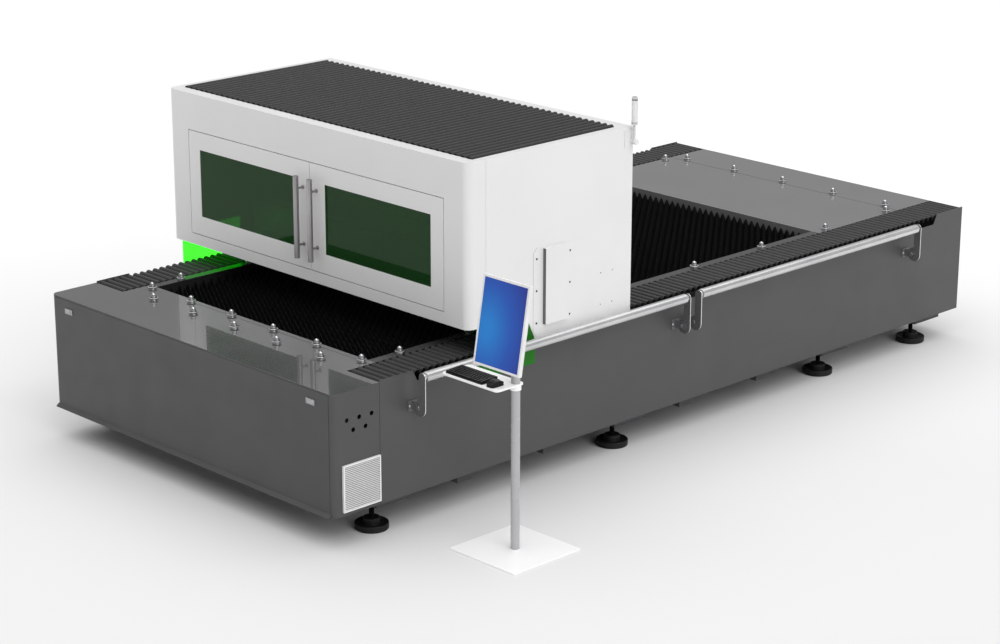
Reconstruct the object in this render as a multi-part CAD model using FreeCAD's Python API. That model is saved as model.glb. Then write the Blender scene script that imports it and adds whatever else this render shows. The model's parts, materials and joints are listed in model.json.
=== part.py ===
import FreeCAD, Part
import math
import os

# Flatbed fibre laser cutting machine with a travelling cabin and a free-standing operator stand.
# Millimetres. X runs across the bed, Y along it from the front housing to the rear, Z is up.
# Everything is laid out from the bed's centre line (x = 0), the face of the front cover (y = 0)
# and the floor (z = 0). save() then shifts it so that the origin is the centre of the footprint.

# ---- driving dimensions: bed ----
bed_width = 2760.0
bed_length = 5940.0
bed_bottom = 200.0
deck_top = 950.0
side_raise = 10.0            # raised ends of the side panels stand this far over the decks
side_drop = 60.0             # middle of the side panels lies this far under the decks
sheet = 4.0                  # thickness of the large folded panels
thin_sheet = 3.0             # thickness of covers, decks and small pans
joint_gap = 2.0              # open seam between neighbouring panels

# ---- driving dimensions: cutting pit ----
pit_side_margin = 350.0      # from the bed's side to the pit
pit_front = 573.0
pit_rear_margin = 1269.0     # from the pit to the bed's rear end
rear_seam_margin = 390.0     # from the seam between the rear decks to the rear end
ledge_width = 65.0
slat_count = 63
slat_thickness = 3.0
slat_height = 100.0
slat_tip_drop = 20.0         # slat tips lie this far under the decks
tooth_pitch = 54.0
tooth_height = 45.0
slat_end_gap = 4.0
comb_width = 20.0
comb_slot_clearance = 0.3
rack_depth = 30.0            # ties of the slat rack, under the slats
bearer_width = 100.0
bearer_depth = 60.0
scrap_floor_z = 420.0
scrap_floor_half = 800.0

# ---- driving dimensions: front housing ----
housing_depth = 352.0
housing_corner = 41.0
cover_inset = 40.0           # cover panel stops this far short of the housing's sides
lip_reach = 25.0
grille_size = 285.0
grille_proud = 14.0
grille_rise = 26.0           # grille's foot, above the housing's foot
grille_front = 62.0
louvre_count = 24
gland_hole = 28.0
gland_pitch = 94.0
gland_first_y = 104.0
gland_upper_drop = 172.0     # upper row of cable holes, under the deck
gland_lower_drop = 239.0     # lower row
access_side_margin = 140.0   # opening behind the cover, in from the bed's sides
access_foot_margin = 60.0
access_head_margin = 90.0
tab_side_margin = 193.0      # catches, in from the bed's sides
tab_drop = 80.0
tab_width = 76.0
tab_height = 34.0
tab_thickness = 5.0
source_half = 420.0
source_y = (60.0, 320.0)
source_z = (300.0, 640.0)

# ---- driving dimensions: feet and frame ----
foot_offset = 8.0            # feet, inside the middle of the long beams
foot_front_y = (400.0, 2452.0)
foot_rear_margin = (1411.0, 359.0)
pad_radius = 103.0
pad_height = 40.0
stud_diameter = 32.0
frame_beam_width = 200.0
frame_beam_wall = 10.0
frame_beam_drop = 190.0      # top of the long beams, under the decks
panel_flange = 26.0          # foot flange of the side panels, which reaches the long beams
cross_beam_y = (1045.0, 1773.0, 3029.0, 3795.0)
cross_beam_width = 110.0
cross_beam_depth = 54.0

# ---- driving dimensions: bellows ----
pleat_pitch = 53.8
pleat_height = 30.0
bellows_rise = 5.0           # crests stand this far over the decks
bellows_skin = 3.0
bellows_gap = 8.0

# ---- driving dimensions: cabin ----
cabin_overhang = 44.0        # cabin walls stand this far outside the bed's sides
cabin_front = 1013.0
cabin_depth = 1392.0
cabin_rise = 1180.0          # roof rim, over the decks
cabin_clearance = 168.0      # under the front shell, over the decks
skirt_drop = 53.0            # side skirts reach this far under the decks
skirt_slope = (475.0, 581.0)  # the skirt slopes down between these, behind the cabin's face
shell_depth = 143.0
shell_corner = 55.0
rim_side = 60.0
rim_front = 90.0
rim_rear = 100.0
roof_pleat_count = 51
roof_pleat_height = 30.0
roof_rise = 12.0

# ---- driving dimensions: doors ----
door_side_margin = 210.5     # from the cabin's side to the door
door_sill = 78.0             # from the shell's lower edge to the door
door_head = 246.0            # from the door to the roof rim
door_depth = 30.0
door_gap = 5.0
window_inset_hinge = 110.0
window_inset_seam = 139.0
window_inset_top = 116.0
window_inset_bottom = 125.0
window_lap = 15.0
window_thickness = 6.0
hinge_in = 12.0              # pivot pin, in from the door's outer edge
hinge_back = 8.0             # pivot pin, behind the door's face
hinge_pin = 8.0
handle_diameter = 36.0
handle_length = 528.0
handle_offset = 65.0
handle_standoff = 58.0
handle_leg_pitch = 364.0

# ---- driving dimensions: gantry and cutting head ----
carriage_offset = 460.0      # carriages, behind the cabin's face
carriage_length = 700.0
carriage_rise = 60.0         # top of the carriages, over the decks
carriage_gap = 15.0          # between a carriage and the panels beside it
rail_width = 30.0
rail_height = 35.0
beam_offset = 637.0          # beam, behind the cabin's face
beam_size = 300.0
beam_wall = 10.0
head_offset = 110.0          # head's axis, in front of the beam
head_radius = 45.0
nozzle_rise = 100.0          # parked nozzle, over the slat tips

# ---- driving dimensions: loading rollers ----
roller_diameter = 62.0
roller_wall = 4.0
roller_gap = 22.5            # between the rollers and the cabin's skirt
roller_drop = 7.0            # rollers' axis, under the decks
roller_front = 598.0         # first arm of the front roller
roller_rear_margin = 650.0   # last arm of the rear roller, from the bed's rear end
roller_split = (59.0, 46.0)  # inner arms, before and behind the middle between those two
arm_thickness = 6.0
pivot_reach = 63.0           # pivots, outside the bed's side
pivot_drop = 200.0           # pivots, under the decks
pivot_pin = 16.0
axle_diameter = 20.0
running_clearance = 0.05     # radial, between a shaft and the bore it turns in

# ---- driving dimensions: operator stand ----
stand_reach = 686.0          # post, outside the bed's side
stand_y = 775.0
base_side = 541.0
base_thickness = 8.0
post_diameter = 53.0
post_top = 1400.0
tray_top = 1016.0
tray_reach = 426.0           # tray, to the left of the post
tray_front_reach = 182.0
tray_back_reach = 40.0
screen_width = 368.0
screen_height = 518.0
screen_thickness = 26.0
screen_reach = 103.0         # middle of the screen, in front of the post
screen_centre_z = 1380.0
screen_lean = 9.7

# ---- driving dimensions: signal lamp ----
lamp_margin = 20.0           # pole, in from the cabin's rear
lamp_pivot_drop = 90.0       # clamp bolt, under the roof rim
lamp_rise = (27.0, 193.0)    # foot and tip of the lens, over the roof rim
lamp_diameter = 40.0

# ---- places that follow from the driving dimensions ----
half_bed = bed_width / 2
panel_inner = half_bed - sheet
half_pit = half_bed - pit_side_margin
ledge_outer = half_pit + ledge_width
pit_rear = bed_length - pit_rear_margin
pit_length = pit_rear - pit_front
rear_seam_y = bed_length - rear_seam_margin
side_high = deck_top + side_raise
side_low = deck_top - side_drop
frame_bottom = bed_bottom + sheet
frame_outer = panel_inner - panel_flange
frame_beam_x = frame_outer - frame_beam_width / 2
frame_inner = frame_outer - frame_beam_width
frame_beam_top = deck_top - frame_beam_drop
foot_x = frame_beam_x - foot_offset
foot_y = foot_front_y + tuple(bed_length - margin for margin in foot_rear_margin)
grille_bottom = bed_bottom + grille_rise
gland_upper_z = deck_top - gland_upper_drop
gland_lower_z = deck_top - gland_lower_drop
tab_x = half_bed - tab_side_margin
tab_z = deck_top - tab_drop
bellows_top = deck_top + bellows_rise
slat_tip = deck_top - slat_tip_drop
slat_bottom = slat_tip - slat_height
rack_bottom = slat_bottom - rack_depth
bearer_top = rack_bottom
cabin_half_width = half_bed + cabin_overhang
cabin_rear = cabin_front + cabin_depth
cabin_top = deck_top + cabin_rise
cabin_bottom = deck_top + cabin_clearance
skirt_bottom = deck_top - skirt_drop
skirt_top_y, skirt_low_y = (cabin_front + offset for offset in skirt_slope)
cabin_wall_inner = cabin_half_width - sheet
shell_rear = cabin_front + shell_depth
carriage_front = cabin_front + carriage_offset
carriage_rear = carriage_front + carriage_length
carriage_top = deck_top + carriage_rise
beam_front = cabin_front + beam_offset
head_y = beam_front - head_offset
nozzle_z = slat_tip + nozzle_rise
carriage_inner = ledge_outer + carriage_gap
carriage_outer = panel_inner - carriage_gap
door_bottom = cabin_bottom + door_sill
door_top = cabin_top - door_head
door_back = cabin_front + door_depth
seam_half = door_gap / 2
door_outer = cabin_half_width - door_side_margin
roller_x = cabin_half_width + roller_gap + roller_diameter / 2
roller_z = deck_top - roller_drop
roller_rear = bed_length - roller_rear_margin
roller_middle = (roller_front + roller_rear) / 2
arm_y = ((roller_front, roller_middle - roller_split[0]), (roller_middle + roller_split[1], roller_rear))
pivot_x = half_bed + pivot_reach
pivot_z = deck_top - pivot_drop
stand_x = half_bed + stand_reach
tray_left = stand_x - tray_reach
tray_front = stand_y - tray_front_reach
tray_back = stand_y + tray_back_reach
screen_centre_y = stand_y - screen_reach
lamp_y = cabin_rear - lamp_margin
lamp_pivot_z = cabin_top - lamp_pivot_drop
lamp_bottom, lamp_top = (cabin_top + rise for rise in lamp_rise)
stand_right = stand_x + base_side / 2
frame_shift = FreeCAD.Vector(
    (cabin_half_width - stand_right) / 2, (lip_reach - bed_length) / 2, 0)

os.makedirs("parts", exist_ok=True)


# ---- small building functions ----
def box(x_span, y_span, z_span):
    """A block between two X, two Y and two Z values."""
    size = [span[1] - span[0] for span in (x_span, y_span, z_span)]
    return Part.makeBox(*size, FreeCAD.Vector(x_span[0], y_span[0], z_span[0]))


def rod(diameter, start, end):
    """A round bar between two points."""
    a = FreeCAD.Vector(*start)
    run = FreeCAD.Vector(*end) - a
    return Part.makeCylinder(diameter / 2, run.Length, a, run)


def prism(points, direction):
    """A straight extrusion of a closed outline of 3-D points."""
    corners = [FreeCAD.Vector(*p) for p in points]
    face = Part.Face(Part.makePolygon(corners + corners[:1]))
    return face.extrude(FreeCAD.Vector(*direction))


def prism_x(yz, x0, x1):
    """An outline in the YZ plane, carried from x0 to x1."""
    return prism([(x0, y, z) for y, z in yz], (x1 - x0, 0, 0))


def prism_y(xz, y0, y1):
    """An outline in the XZ plane, carried from y0 to y1."""
    return prism([(x, y0, z) for x, z in xz], (0, y1 - y0, 0))


def spin(profile, x, y):
    """A turned piece on a vertical axis at x, y from (radius, height) points."""
    corners = [FreeCAD.Vector(x + r, y, z) for r, z in profile]
    face = Part.Face(Part.makePolygon(corners + corners[:1]))
    return face.revolve(FreeCAD.Vector(x, y, 0), FreeCAD.Vector(0, 0, 1), 360)


def round_uprights(shape, radius, chooses):
    """Round the vertical edges whose middle point the test chooses."""
    edges = []
    for edge in shape.Edges:
        a, b = edge.Vertexes[0].Point, edge.Vertexes[-1].Point
        upright = abs(a.x - b.x) + abs(a.y - b.y) < 1e-6 and abs(a.z - b.z) > 1.0
        if upright and chooses((a + b) / 2):
            edges.append(edge)
    return shape.makeFillet(radius, edges)


def mirrored(shape):
    """The same piece on the other side of the bed's centre line."""
    return shape.mirror(FreeCAD.Vector(0, 0, 0), FreeCAD.Vector(1, 0, 0))


def both_sides(shape):
    """A piece and its mirror image."""
    return [shape, mirrored(shape)]


def zigzag(start, pitch, count, low, high, skin):
    """Outline of a pleated sheet: count pleats along the first axis, its skin measured downwards."""
    upper = [(start, low)]
    for i in range(count):
        upper += [(start + (i + 0.5) * pitch, high), (start + (i + 1) * pitch, low)]
    return upper + [(a, b - skin) for a, b in reversed(upper)]


def save(name, solids):
    """Write one node, shifted into the machine's own frame."""
    shape = solids if isinstance(solids, Part.Shape) else Part.makeCompound(solids)
    placed = shape.copy()
    placed.translate(frame_shift)
    placed.exportStep("parts/" + name + ".step")


# ---- welded frame and feet ----
def foot_places():
    return [(side * foot_x, y) for side in (-1, 1) for y in foot_y]


frame_front = housing_depth
frame_rear = bed_length - sheet
foot_plate_thickness = 44.0
foot_plate_reach = (85.0, 195.0)   # in front of the stud and behind it
bearer_y = [pit_front + pit_length * (i + 0.5) / 4 for i in range(4)]
bearer_y += [pit_front - bearer_width / 2, pit_rear + bearer_width / 2, rear_seam_y]
stud_bottom = 30.0
stud_top = frame_bottom + 60.0
nut_height = 19.0
nut_radius = 30.0


def bed_frame():
    """Two long box beams joined by low cross beams and high bearers, with plates for the feet."""
    wall = frame_beam_wall
    long_beam = box((frame_inner, frame_outer), (frame_front, frame_rear), (frame_bottom, frame_beam_top))
    hollow = box((frame_inner + wall, frame_outer - wall), (frame_front - 1, frame_rear + 1),
                 (frame_bottom + wall, frame_beam_top - wall))
    parts = both_sides(long_beam.cut(hollow))
    for y in cross_beam_y:
        span = (y - cross_beam_width / 2, y + cross_beam_width / 2)
        parts.append(box((-frame_outer, frame_outer), span, (frame_bottom - cross_beam_depth, frame_bottom)))
    for y in bearer_y:
        parts.append(box((-frame_inner, frame_inner), (y - bearer_width / 2, y + bearer_width / 2),
                         (bearer_top - bearer_depth, bearer_top)))
    for x, y in foot_places():
        y_span = (max(frame_front, y - foot_plate_reach[0]), min(frame_rear, y + foot_plate_reach[1]))
        parts.append(box((x - frame_beam_width / 2, x + frame_beam_width / 2), y_span,
                         (frame_bottom - foot_plate_thickness, frame_bottom)))
    body = parts[0].multiFuse(parts[1:]).removeSplitter()
    bores = [rod(stud_diameter, (x, y, 0), (x, y, frame_bottom + wall + 1)) for x, y in foot_places()]
    return body.cut(Part.makeCompound(bores))


hub_radius = 52.0
hub_rise = 32.0


def foot_pad(x, y):
    """Rubber disc with a shallow dish and a round hub that holds the stud."""
    socket = stud_diameter / 2
    hub_top = pad_height + hub_rise
    profile = [(0, 0), (pad_radius - 4, 0), (pad_radius, 4), (pad_radius, pad_height - 4),
               (pad_radius - 4, pad_height), (pad_radius - 9, pad_height - 2), (hub_radius + 6, pad_height - 8),
               (hub_radius, pad_height - 4), (hub_radius, hub_top - 5), (hub_radius - 5, hub_top),
               (socket, hub_top), (socket, stud_bottom), (0, stud_bottom)]
    return spin(profile, x, y)


def hexagon_nut(x, y, z):
    """Lock nut around the stud, under the frame's foot plate."""
    ring = [(nut_radius * math.cos(math.radians(60 * k)), nut_radius * math.sin(math.radians(60 * k)))
            for k in range(6)]
    nut = prism([(x + a, y + b, z) for a, b in ring], (0, 0, nut_height))
    return nut.cut(rod(stud_diameter, (x, y, z - 1), (x, y, z + nut_height + 1)))


save("bed_frame", bed_frame())
save("foot_pads", [foot_pad(x, y) for x, y in foot_places()])
save("foot_studs", [rod(stud_diameter, (x, y, stud_bottom), (x, y, stud_top)) for x, y in foot_places()])
nut_bottom = frame_bottom - foot_plate_thickness - nut_height
save("foot_nuts", [hexagon_nut(x, y, nut_bottom) for x, y in foot_places()])


# ---- side panels and rear panel ----
panel_front = housing_depth + joint_gap
notch_front = 611.0
notch_slope = 38.0
notch_rear = bed_length - 299.0
panel_web_drop = 60.0        # joint flange stops this far under the decks
lug_thickness = 8.0
lug_side_gap = 1.0
lug_base_length = 70.0
lug_base_height = 64.0
lug_base_thickness = 6.0
lug_nose = 52.0
lug_bolt = 9.0
lug_bolt_pitch = 46.0


def lug_y(y, first, last):
    """Middle of the pivot lug that stands on the roller's side of the arm at y."""
    inward = 1 if y == first else -1
    return y + inward * (arm_thickness / 2 + lug_side_gap + lug_thickness / 2)


def side_panel(with_rollers):
    """Folded sheet whose top edge is cut down between its raised ends."""
    outline = [(panel_front, bed_bottom), (bed_length, bed_bottom), (bed_length, side_high),
               (notch_rear, side_high), (notch_rear - notch_slope, side_low),
               (notch_front + notch_slope, side_low), (notch_front, side_high), (panel_front, side_high)]
    plate = prism_x(outline, panel_inner, half_bed)
    foot = box((panel_inner - panel_flange, panel_inner), (panel_front, bed_length - sheet),
               (bed_bottom, frame_bottom))
    front = box((panel_inner - panel_flange / 2, panel_inner), (panel_front, panel_front + thin_sheet),
                (frame_bottom, deck_top - panel_web_drop))
    body = plate.fuse([foot, front]).removeSplitter()
    if not with_rollers:
        return body
    bolts = []
    for first, last in arm_y:
        for y in (first, last):
            for side in (-1, 1):
                b = lug_y(y, first, last) + side * lug_bolt_pitch / 2
                bolts.append(rod(lug_bolt, (panel_inner - 1, b, pivot_z), (half_bed + 1, b, pivot_z)))
    return body.cut(Part.makeCompound(bolts))


save("side_panel_right", side_panel(True))
save("side_panel_left", mirrored(side_panel(False)))
save("rear_end_panel", box((-panel_inner, panel_inner), (bed_length - sheet, bed_length),
                           (frame_bottom, deck_top)))


# ---- front housing, its cover, tabs, vent grille and laser source ----
vent_margin = 20.0           # opening behind the grille, in from the grille's outline


def housing_plate(z_span):
    """Flat sheet over the housing's whole plan, with rounded front corners."""
    plate = box((-half_bed, half_bed), (thin_sheet, housing_depth), z_span)
    return round_uprights(plate, housing_corner, lambda p: p.y < thin_sheet + 1)


def housing_deck():
    """Top sheet that runs back to the cutting pit and turns down along it."""
    tongue = box((-ledge_outer, ledge_outer), (housing_depth, pit_front), (deck_top - thin_sheet, deck_top))
    apron = box((-half_pit, half_pit), (pit_front - thin_sheet, pit_front),
                (bearer_top, deck_top - thin_sheet))
    return housing_plate((deck_top - thin_sheet, deck_top)).multiFuse([tongue, apron]).removeSplitter()


def housing_side(with_holes):
    """Right-hand wall of three welded sheets: the bent front corner, the flat side, the rear flange."""
    z_span = (bed_bottom + thin_sheet, deck_top - thin_sheet)
    corner_x, corner_y = half_bed - housing_corner, thin_sheet + housing_corner
    outer = rod(2 * housing_corner, (corner_x, corner_y, z_span[0]), (corner_x, corner_y, z_span[1]))
    inner = rod(2 * (housing_corner - thin_sheet), (corner_x, corner_y, z_span[0] - 1),
                (corner_x, corner_y, z_span[1] + 1))
    corner = outer.cut(inner).common(box((corner_x, half_bed), (thin_sheet, corner_y), z_span))
    wall = box((half_bed - thin_sheet, half_bed), (corner_y, housing_depth), z_span)
    flange = box((frame_inner, half_bed - thin_sheet), (housing_depth - thin_sheet, housing_depth),
                 (z_span[0], frame_beam_top))
    if with_holes:
        through = (half_bed - thin_sheet - 1, half_bed + 1)
        cuts = [box(through, (grille_front + vent_margin, grille_front + grille_size - vent_margin),
                    (grille_bottom + vent_margin, grille_bottom + grille_size - vent_margin))]
        for y, z in gland_places():
            cuts.append(rod(gland_hole, (through[0], y, z), (through[1], y, z)))
        wall = wall.cut(Part.makeCompound(cuts))
    return [corner, wall, flange]


def housing_front():
    """Front sheet between the rounded corners, with the opening behind the cover."""
    half = half_bed - housing_corner
    sheet_y = (thin_sheet, 2 * thin_sheet)
    plate = box((-half, half), sheet_y, (bed_bottom + thin_sheet, deck_top - thin_sheet))
    access_half = half_bed - access_side_margin
    access = box((-access_half, access_half), (sheet_y[0] - 1, sheet_y[1] + 1),
                 (bed_bottom + access_foot_margin, deck_top - access_head_margin))
    return plate.cut(access)


def front_housing():
    """Box welded from flat and bent sheets: floor, two walls, front and deck."""
    floor = housing_plate((bed_bottom, bed_bottom + thin_sheet))
    left = [mirrored(sheet) for sheet in housing_side(False)]
    return [floor] + housing_side(True) + left + [housing_front(), housing_deck()]


def gland_places():
    """Three cable holes over two, staggered by half a pitch."""
    upper = [(gland_first_y + i * gland_pitch, gland_upper_z) for i in range(3)]
    lower = [(gland_first_y + (i + 0.5) * gland_pitch, gland_lower_z) for i in range(2)]
    return upper + lower


lip_rise = 20.0
lip_overhang = 12.0          # lip runs past each end of the cover
lip_edge = 2.0               # lip's lower edge, from the housing's foot
cover_head_gap = 10.0


def front_cover():
    """Flat cover sheet with a flared lip along its foot."""
    half = half_bed - cover_inset
    low = bed_bottom + lip_edge
    high = low + lip_rise
    plate = box((-half, half), (0, thin_sheet), (high, deck_top - cover_head_gap))
    lip = [(0, high), (-lip_reach, low), (-lip_reach + thin_sheet, low - lip_edge),
           (thin_sheet, high - lip_edge), (thin_sheet, high)]
    return plate.fuse(prism_x(lip, -half - lip_overhang, half + lip_overhang)).removeSplitter()


tab_notch = 18.0
tab_notch_in = 12.0          # notch's middle, in from the catch's end
tab_notch_depth = 3.0


def cover_tab(x):
    """Pressed catch riveted to the cover, with a finger notch in its side."""
    plate = box((x - tab_width / 2, x + tab_width / 2), (-tab_thickness, 0),
                (tab_z - tab_height / 2, tab_z + tab_height / 2))
    notch = x - math.copysign(tab_width / 2 - tab_notch_in, x)
    recess = box((notch - tab_notch / 2, notch + tab_notch / 2),
                 (-tab_thickness - 1, tab_notch_depth - tab_thickness),
                 (tab_z - tab_notch / 2, tab_z + tab_notch / 2))
    return plate.cut(recess)


grille_rim = 9.0
fin_thickness = 2.5
fin_slope = 0.6              # rise of a louvre, as a share of the pitch


def vent_grille():
    """Moulded frame with a stack of sloping louvres."""
    y0, y1 = grille_front + grille_rim, grille_front + grille_size - grille_rim
    z0, z1 = grille_bottom + grille_rim, grille_bottom + grille_size - grille_rim
    face = half_bed + grille_proud
    frame = box((half_bed, face), (y0 - grille_rim, y1 + grille_rim), (z0 - grille_rim, z1 + grille_rim))
    frame = frame.cut(box((half_bed - 1, face + 1), (y0, y1), (z0, z1)))
    pitch = (z1 - z0) / louvre_count
    fins = []
    for i in range(louvre_count):
        low = z0 + (i + 0.1) * pitch
        high = low + fin_slope * pitch
        fin = [(face - 1, low), (half_bed + 2, high), (half_bed + 2, high + fin_thickness),
               (face - 1, low + fin_thickness)]
        fins.append(prism_y(fin, y0, y1))
    return frame.multiFuse(fins).removeSplitter()


runner_half = 25.0
runner_in = 90.0             # runners, in from the cabinet's ends


def laser_source():
    """Cabinet of the fibre laser source inside the front housing, standing on two runners."""
    case = box((-source_half, source_half), source_y, source_z)
    wall = thin_sheet
    hollow = box((-source_half + wall, source_half - wall), (source_y[0] + wall, source_y[1] + 1),
                 (source_z[0] + wall, source_z[1] - wall))
    floor = bed_bottom + thin_sheet
    runner_x = source_half - runner_in
    runners = [box((x - runner_half, x + runner_half), source_y, (floor, source_z[0]))
               for x in (-runner_x, runner_x)]
    return case.cut(hollow).multiFuse(runners).removeSplitter()


save("front_housing", front_housing())
save("front_cover_panel", front_cover())
save("cover_tabs", [cover_tab(-tab_x), cover_tab(tab_x)])
save("vent_grille", vent_grille())
save("laser_source", laser_source())


# ---- decks and ledges around the pit ----
web_offset = 22.0            # stiffening webs stand this far from the seam


def rear_inner_deck():
    """Deck between the pit and the seam, turned down along the pit."""
    top = box((-ledge_outer, ledge_outer), (pit_rear, rear_seam_y - joint_gap / 2),
              (deck_top - thin_sheet, deck_top))
    apron = box((-half_pit, half_pit), (pit_rear, pit_rear + thin_sheet), (bearer_top, deck_top - thin_sheet))
    web = box((-ledge_outer, ledge_outer), (rear_seam_y - web_offset, rear_seam_y - web_offset + sheet),
              (bearer_top, deck_top - thin_sheet))
    return top.fuse([apron, web]).removeSplitter()


def rear_deck():
    """Deck strip behind the seam, up to the rear panel."""
    top = box((-ledge_outer, ledge_outer), (rear_seam_y + joint_gap / 2, bed_length - sheet),
              (deck_top - thin_sheet, deck_top))
    web = box((-ledge_outer, ledge_outer), (rear_seam_y + web_offset - sheet, rear_seam_y + web_offset),
              (bearer_top, deck_top - thin_sheet))
    return top.fuse(web).removeSplitter()


def pit_ledge():
    """Channel along the pit: a narrow top, the pit's side wall and an outer wall on the frame."""
    y_span = (pit_front, pit_rear)
    top = box((half_pit, ledge_outer), y_span, (deck_top - thin_sheet, deck_top))
    wall = box((half_pit, half_pit + thin_sheet), y_span, (bearer_top, deck_top - thin_sheet))
    outer = box((ledge_outer - thin_sheet, ledge_outer), y_span, (bearer_top, deck_top - thin_sheet))
    return top.fuse([wall, outer]).removeSplitter()


save("rear_inner_deck", rear_inner_deck())
save("rear_deck", rear_deck())
save("pit_ledges", both_sides(pit_ledge()))


# ---- slats, their rack and the scrap floor ----
slat_half = half_pit - slat_end_gap
comb_end_gap = 6.0
comb_side_gap = 2.0
comb_drop = 10.0             # top of the combs, under the slats' valleys
tie_half = 20.0
tie_gap = 2.0                # ties stay this far under the slats
tooth_rise = (0.44, 0.56)    # flat tip of a tooth, along its pitch
slat_margin = 34.0
slat_pitch = (pit_length - 2 * slat_margin) / (slat_count - 1)
slat_places = [pit_front + slat_margin + i * slat_pitch for i in range(slat_count)]


def cutting_slat(y):
    """Toothed plate on edge across the pit."""
    teeth = int(2 * slat_half // tooth_pitch)
    start = -teeth * tooth_pitch / 2
    valley = slat_tip - tooth_height
    outline = [(-slat_half, slat_bottom), (-slat_half, valley), (start, valley)]
    for i in range(teeth):
        x = start + i * tooth_pitch
        outline += [(x + along * tooth_pitch, slat_tip) for along in tooth_rise]
        outline.append((x + tooth_pitch, valley))
    outline += [(slat_half, valley), (slat_half, slat_bottom)]
    return prism_y(outline, y - slat_thickness / 2, y + slat_thickness / 2)


def comb_outline():
    """Side view of a comb: a bar with one open slot for each slat."""
    half_slot = slat_thickness / 2 + comb_slot_clearance
    top = slat_tip - tooth_height - comb_drop
    first, last = pit_front + comb_end_gap, pit_rear - comb_end_gap
    points = [(first, rack_bottom), (first, top)]
    for y in slat_places:
        points += [(y - half_slot, top), (y - half_slot, slat_bottom), (y + half_slot, slat_bottom),
                   (y + half_slot, top)]
    return points + [(last, top), (last, rack_bottom)]


def slat_rack():
    """Two combs tied together by flat bars under the slats."""
    outer = half_pit - comb_side_gap
    inner = outer - comb_width
    comb = prism_x(comb_outline(), inner, outer)
    in_pit = [y for y in bearer_y if pit_front < y < pit_rear]
    ties = [box((-inner, inner), (y - tie_half, y + tie_half), (rack_bottom, slat_bottom - tie_gap))
            for y in in_pit]
    middle = box((-tie_half / 2, tie_half / 2), (pit_front + comb_end_gap, pit_rear - comb_end_gap),
                 (rack_bottom, slat_bottom))
    return comb.multiFuse([mirrored(comb)] + ties + [middle]).removeSplitter()


def scrap_floor():
    """Folded trough under the bearers that catches the scrap."""
    low, high = scrap_floor_z, bearer_top - bearer_depth
    shelf, toe = frame_inner, min(scrap_floor_half, frame_inner)
    upper = [(-shelf, high), (-toe, low), (toe, low), (shelf, high)]
    lower = [(x, z - thin_sheet) for x, z in reversed(upper)]
    return prism_y(upper + lower, pit_front, pit_rear)


save("cutting_slats", [cutting_slat(y) for y in slat_places])
save("slat_rack", slat_rack())
save("scrap_floor", scrap_floor())


# ---- guide rails and linear motor tracks on the frame ----
rail_end_gap = 40.0
track_offset = 66.0
track_width = 50.0
track_height = 15.0
rail_span = (frame_front + rail_end_gap, frame_rear - rail_end_gap)
rail_top = frame_beam_top + rail_height
track_x = frame_beam_x - track_offset
save("guide_rails", both_sides(box((frame_beam_x - rail_width / 2, frame_beam_x + rail_width / 2),
                                   rail_span, (frame_beam_top, rail_top))))
save("magnet_tracks", both_sides(box((track_x - track_width / 2, track_x + track_width / 2),
                                     rail_span, (frame_beam_top, frame_beam_top + track_height))))


# ---- bellows over the guideways ----
bellows_inner = ledge_outer + bellows_gap
bellows_outer = panel_inner - bellows_gap / 2
bellows_end_gap = 12.0


def bellows(start, end):
    """Pleated cover over one guideway between two Y values, made of whole pleats."""
    count = round((end - start) / pleat_pitch)
    low = bellows_top - pleat_height
    outline = zigzag(start, (end - start) / count, count, low, bellows_top, bellows_skin)
    return prism_x(outline, bellows_inner, bellows_outer)


save("front_bellows", both_sides(bellows(housing_depth + bellows_end_gap, carriage_front)))
save("rear_bellows", both_sides(bellows(carriage_rear, frame_rear - bellows_end_gap)))


# ---- ball transfer units ----
front_ball_margin = 75.0     # outer ball units of the front rows, in from the ledges' edge
front_row_back = 40.0        # first row, in front of the pit's edge
second_row_back = 181.0
seam_ball_margin = 140.0     # outer ball units of the rear row, in from the ledges' edge
seam_ball_gap = 4.0          # between the rear row's flanges and the seam
ledge_ball_front = (796.0, 1363.0)
ledge_ball_rear_margin = 481.0
ledge_ball_count = 6         # evenly spaced steps behind the second ball of a ledge
flange_radius = 34.0
ball_radius = 12.5
unit_height = 44.0


def ball_places():
    """Two staggered rows before the pit, one line on each ledge and one row on the rear seam."""
    pitch = (2 * ledge_outer - 2 * front_ball_margin) / 5
    seam_pitch = (2 * ledge_outer - 2 * seam_ball_margin) / 4
    places = [((i - 2.5) * pitch, pit_front - front_row_back) for i in range(6)]
    places += [((i - 2) * pitch, pit_front - second_row_back) for i in range(5)]
    places += [((i - 2) * seam_pitch, rear_seam_y + flange_radius + seam_ball_gap) for i in range(5)]
    first, second = ledge_ball_front
    step = (bed_length - ledge_ball_rear_margin - second) / ledge_ball_count
    lines = [first] + [second + i * step for i in range(ledge_ball_count + 1)]
    middle = half_pit + ledge_width / 2
    return places + [(side * middle, y) for side in (-1, 1) for y in lines]


def transfer_ball(x, y):
    return Part.makeSphere(ball_radius, FreeCAD.Vector(x, y, deck_top + unit_height - ball_radius))


def ball_cup(x, y):
    """Turned cup: a flange on the deck and a cone that closes round the ball."""
    mouth = unit_height - ball_radius + 0.35 * ball_radius
    profile = [(0, 0), (flange_radius, 0), (flange_radius, 4), (22, 8), (22, 16), (ball_radius + 2, mouth),
               (0, mouth)]
    return spin([(r, deck_top + h) for r, h in profile], x, y).cut(transfer_ball(x, y))


save("ball_cups", [ball_cup(x, y) for x, y in ball_places()])
save("transfer_balls", [transfer_ball(x, y) for x, y in ball_places()])


# ---- swing-down loading rollers on the right side ----
arm_half = 27.5              # half width of the arm's upright part
arm_lobe = 52.0
arm_lobe_x = pivot_x + 10.0
arm_shoulder = 50.0          # where the upright starts, over the pivot
arm_waist = (27.0, 32.0)     # inner corner between the upright and the lobe
pin_head = 28.0
pin_head_height = 6.0
pin_nut = 26.0
pin_tail = 10.0


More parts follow.
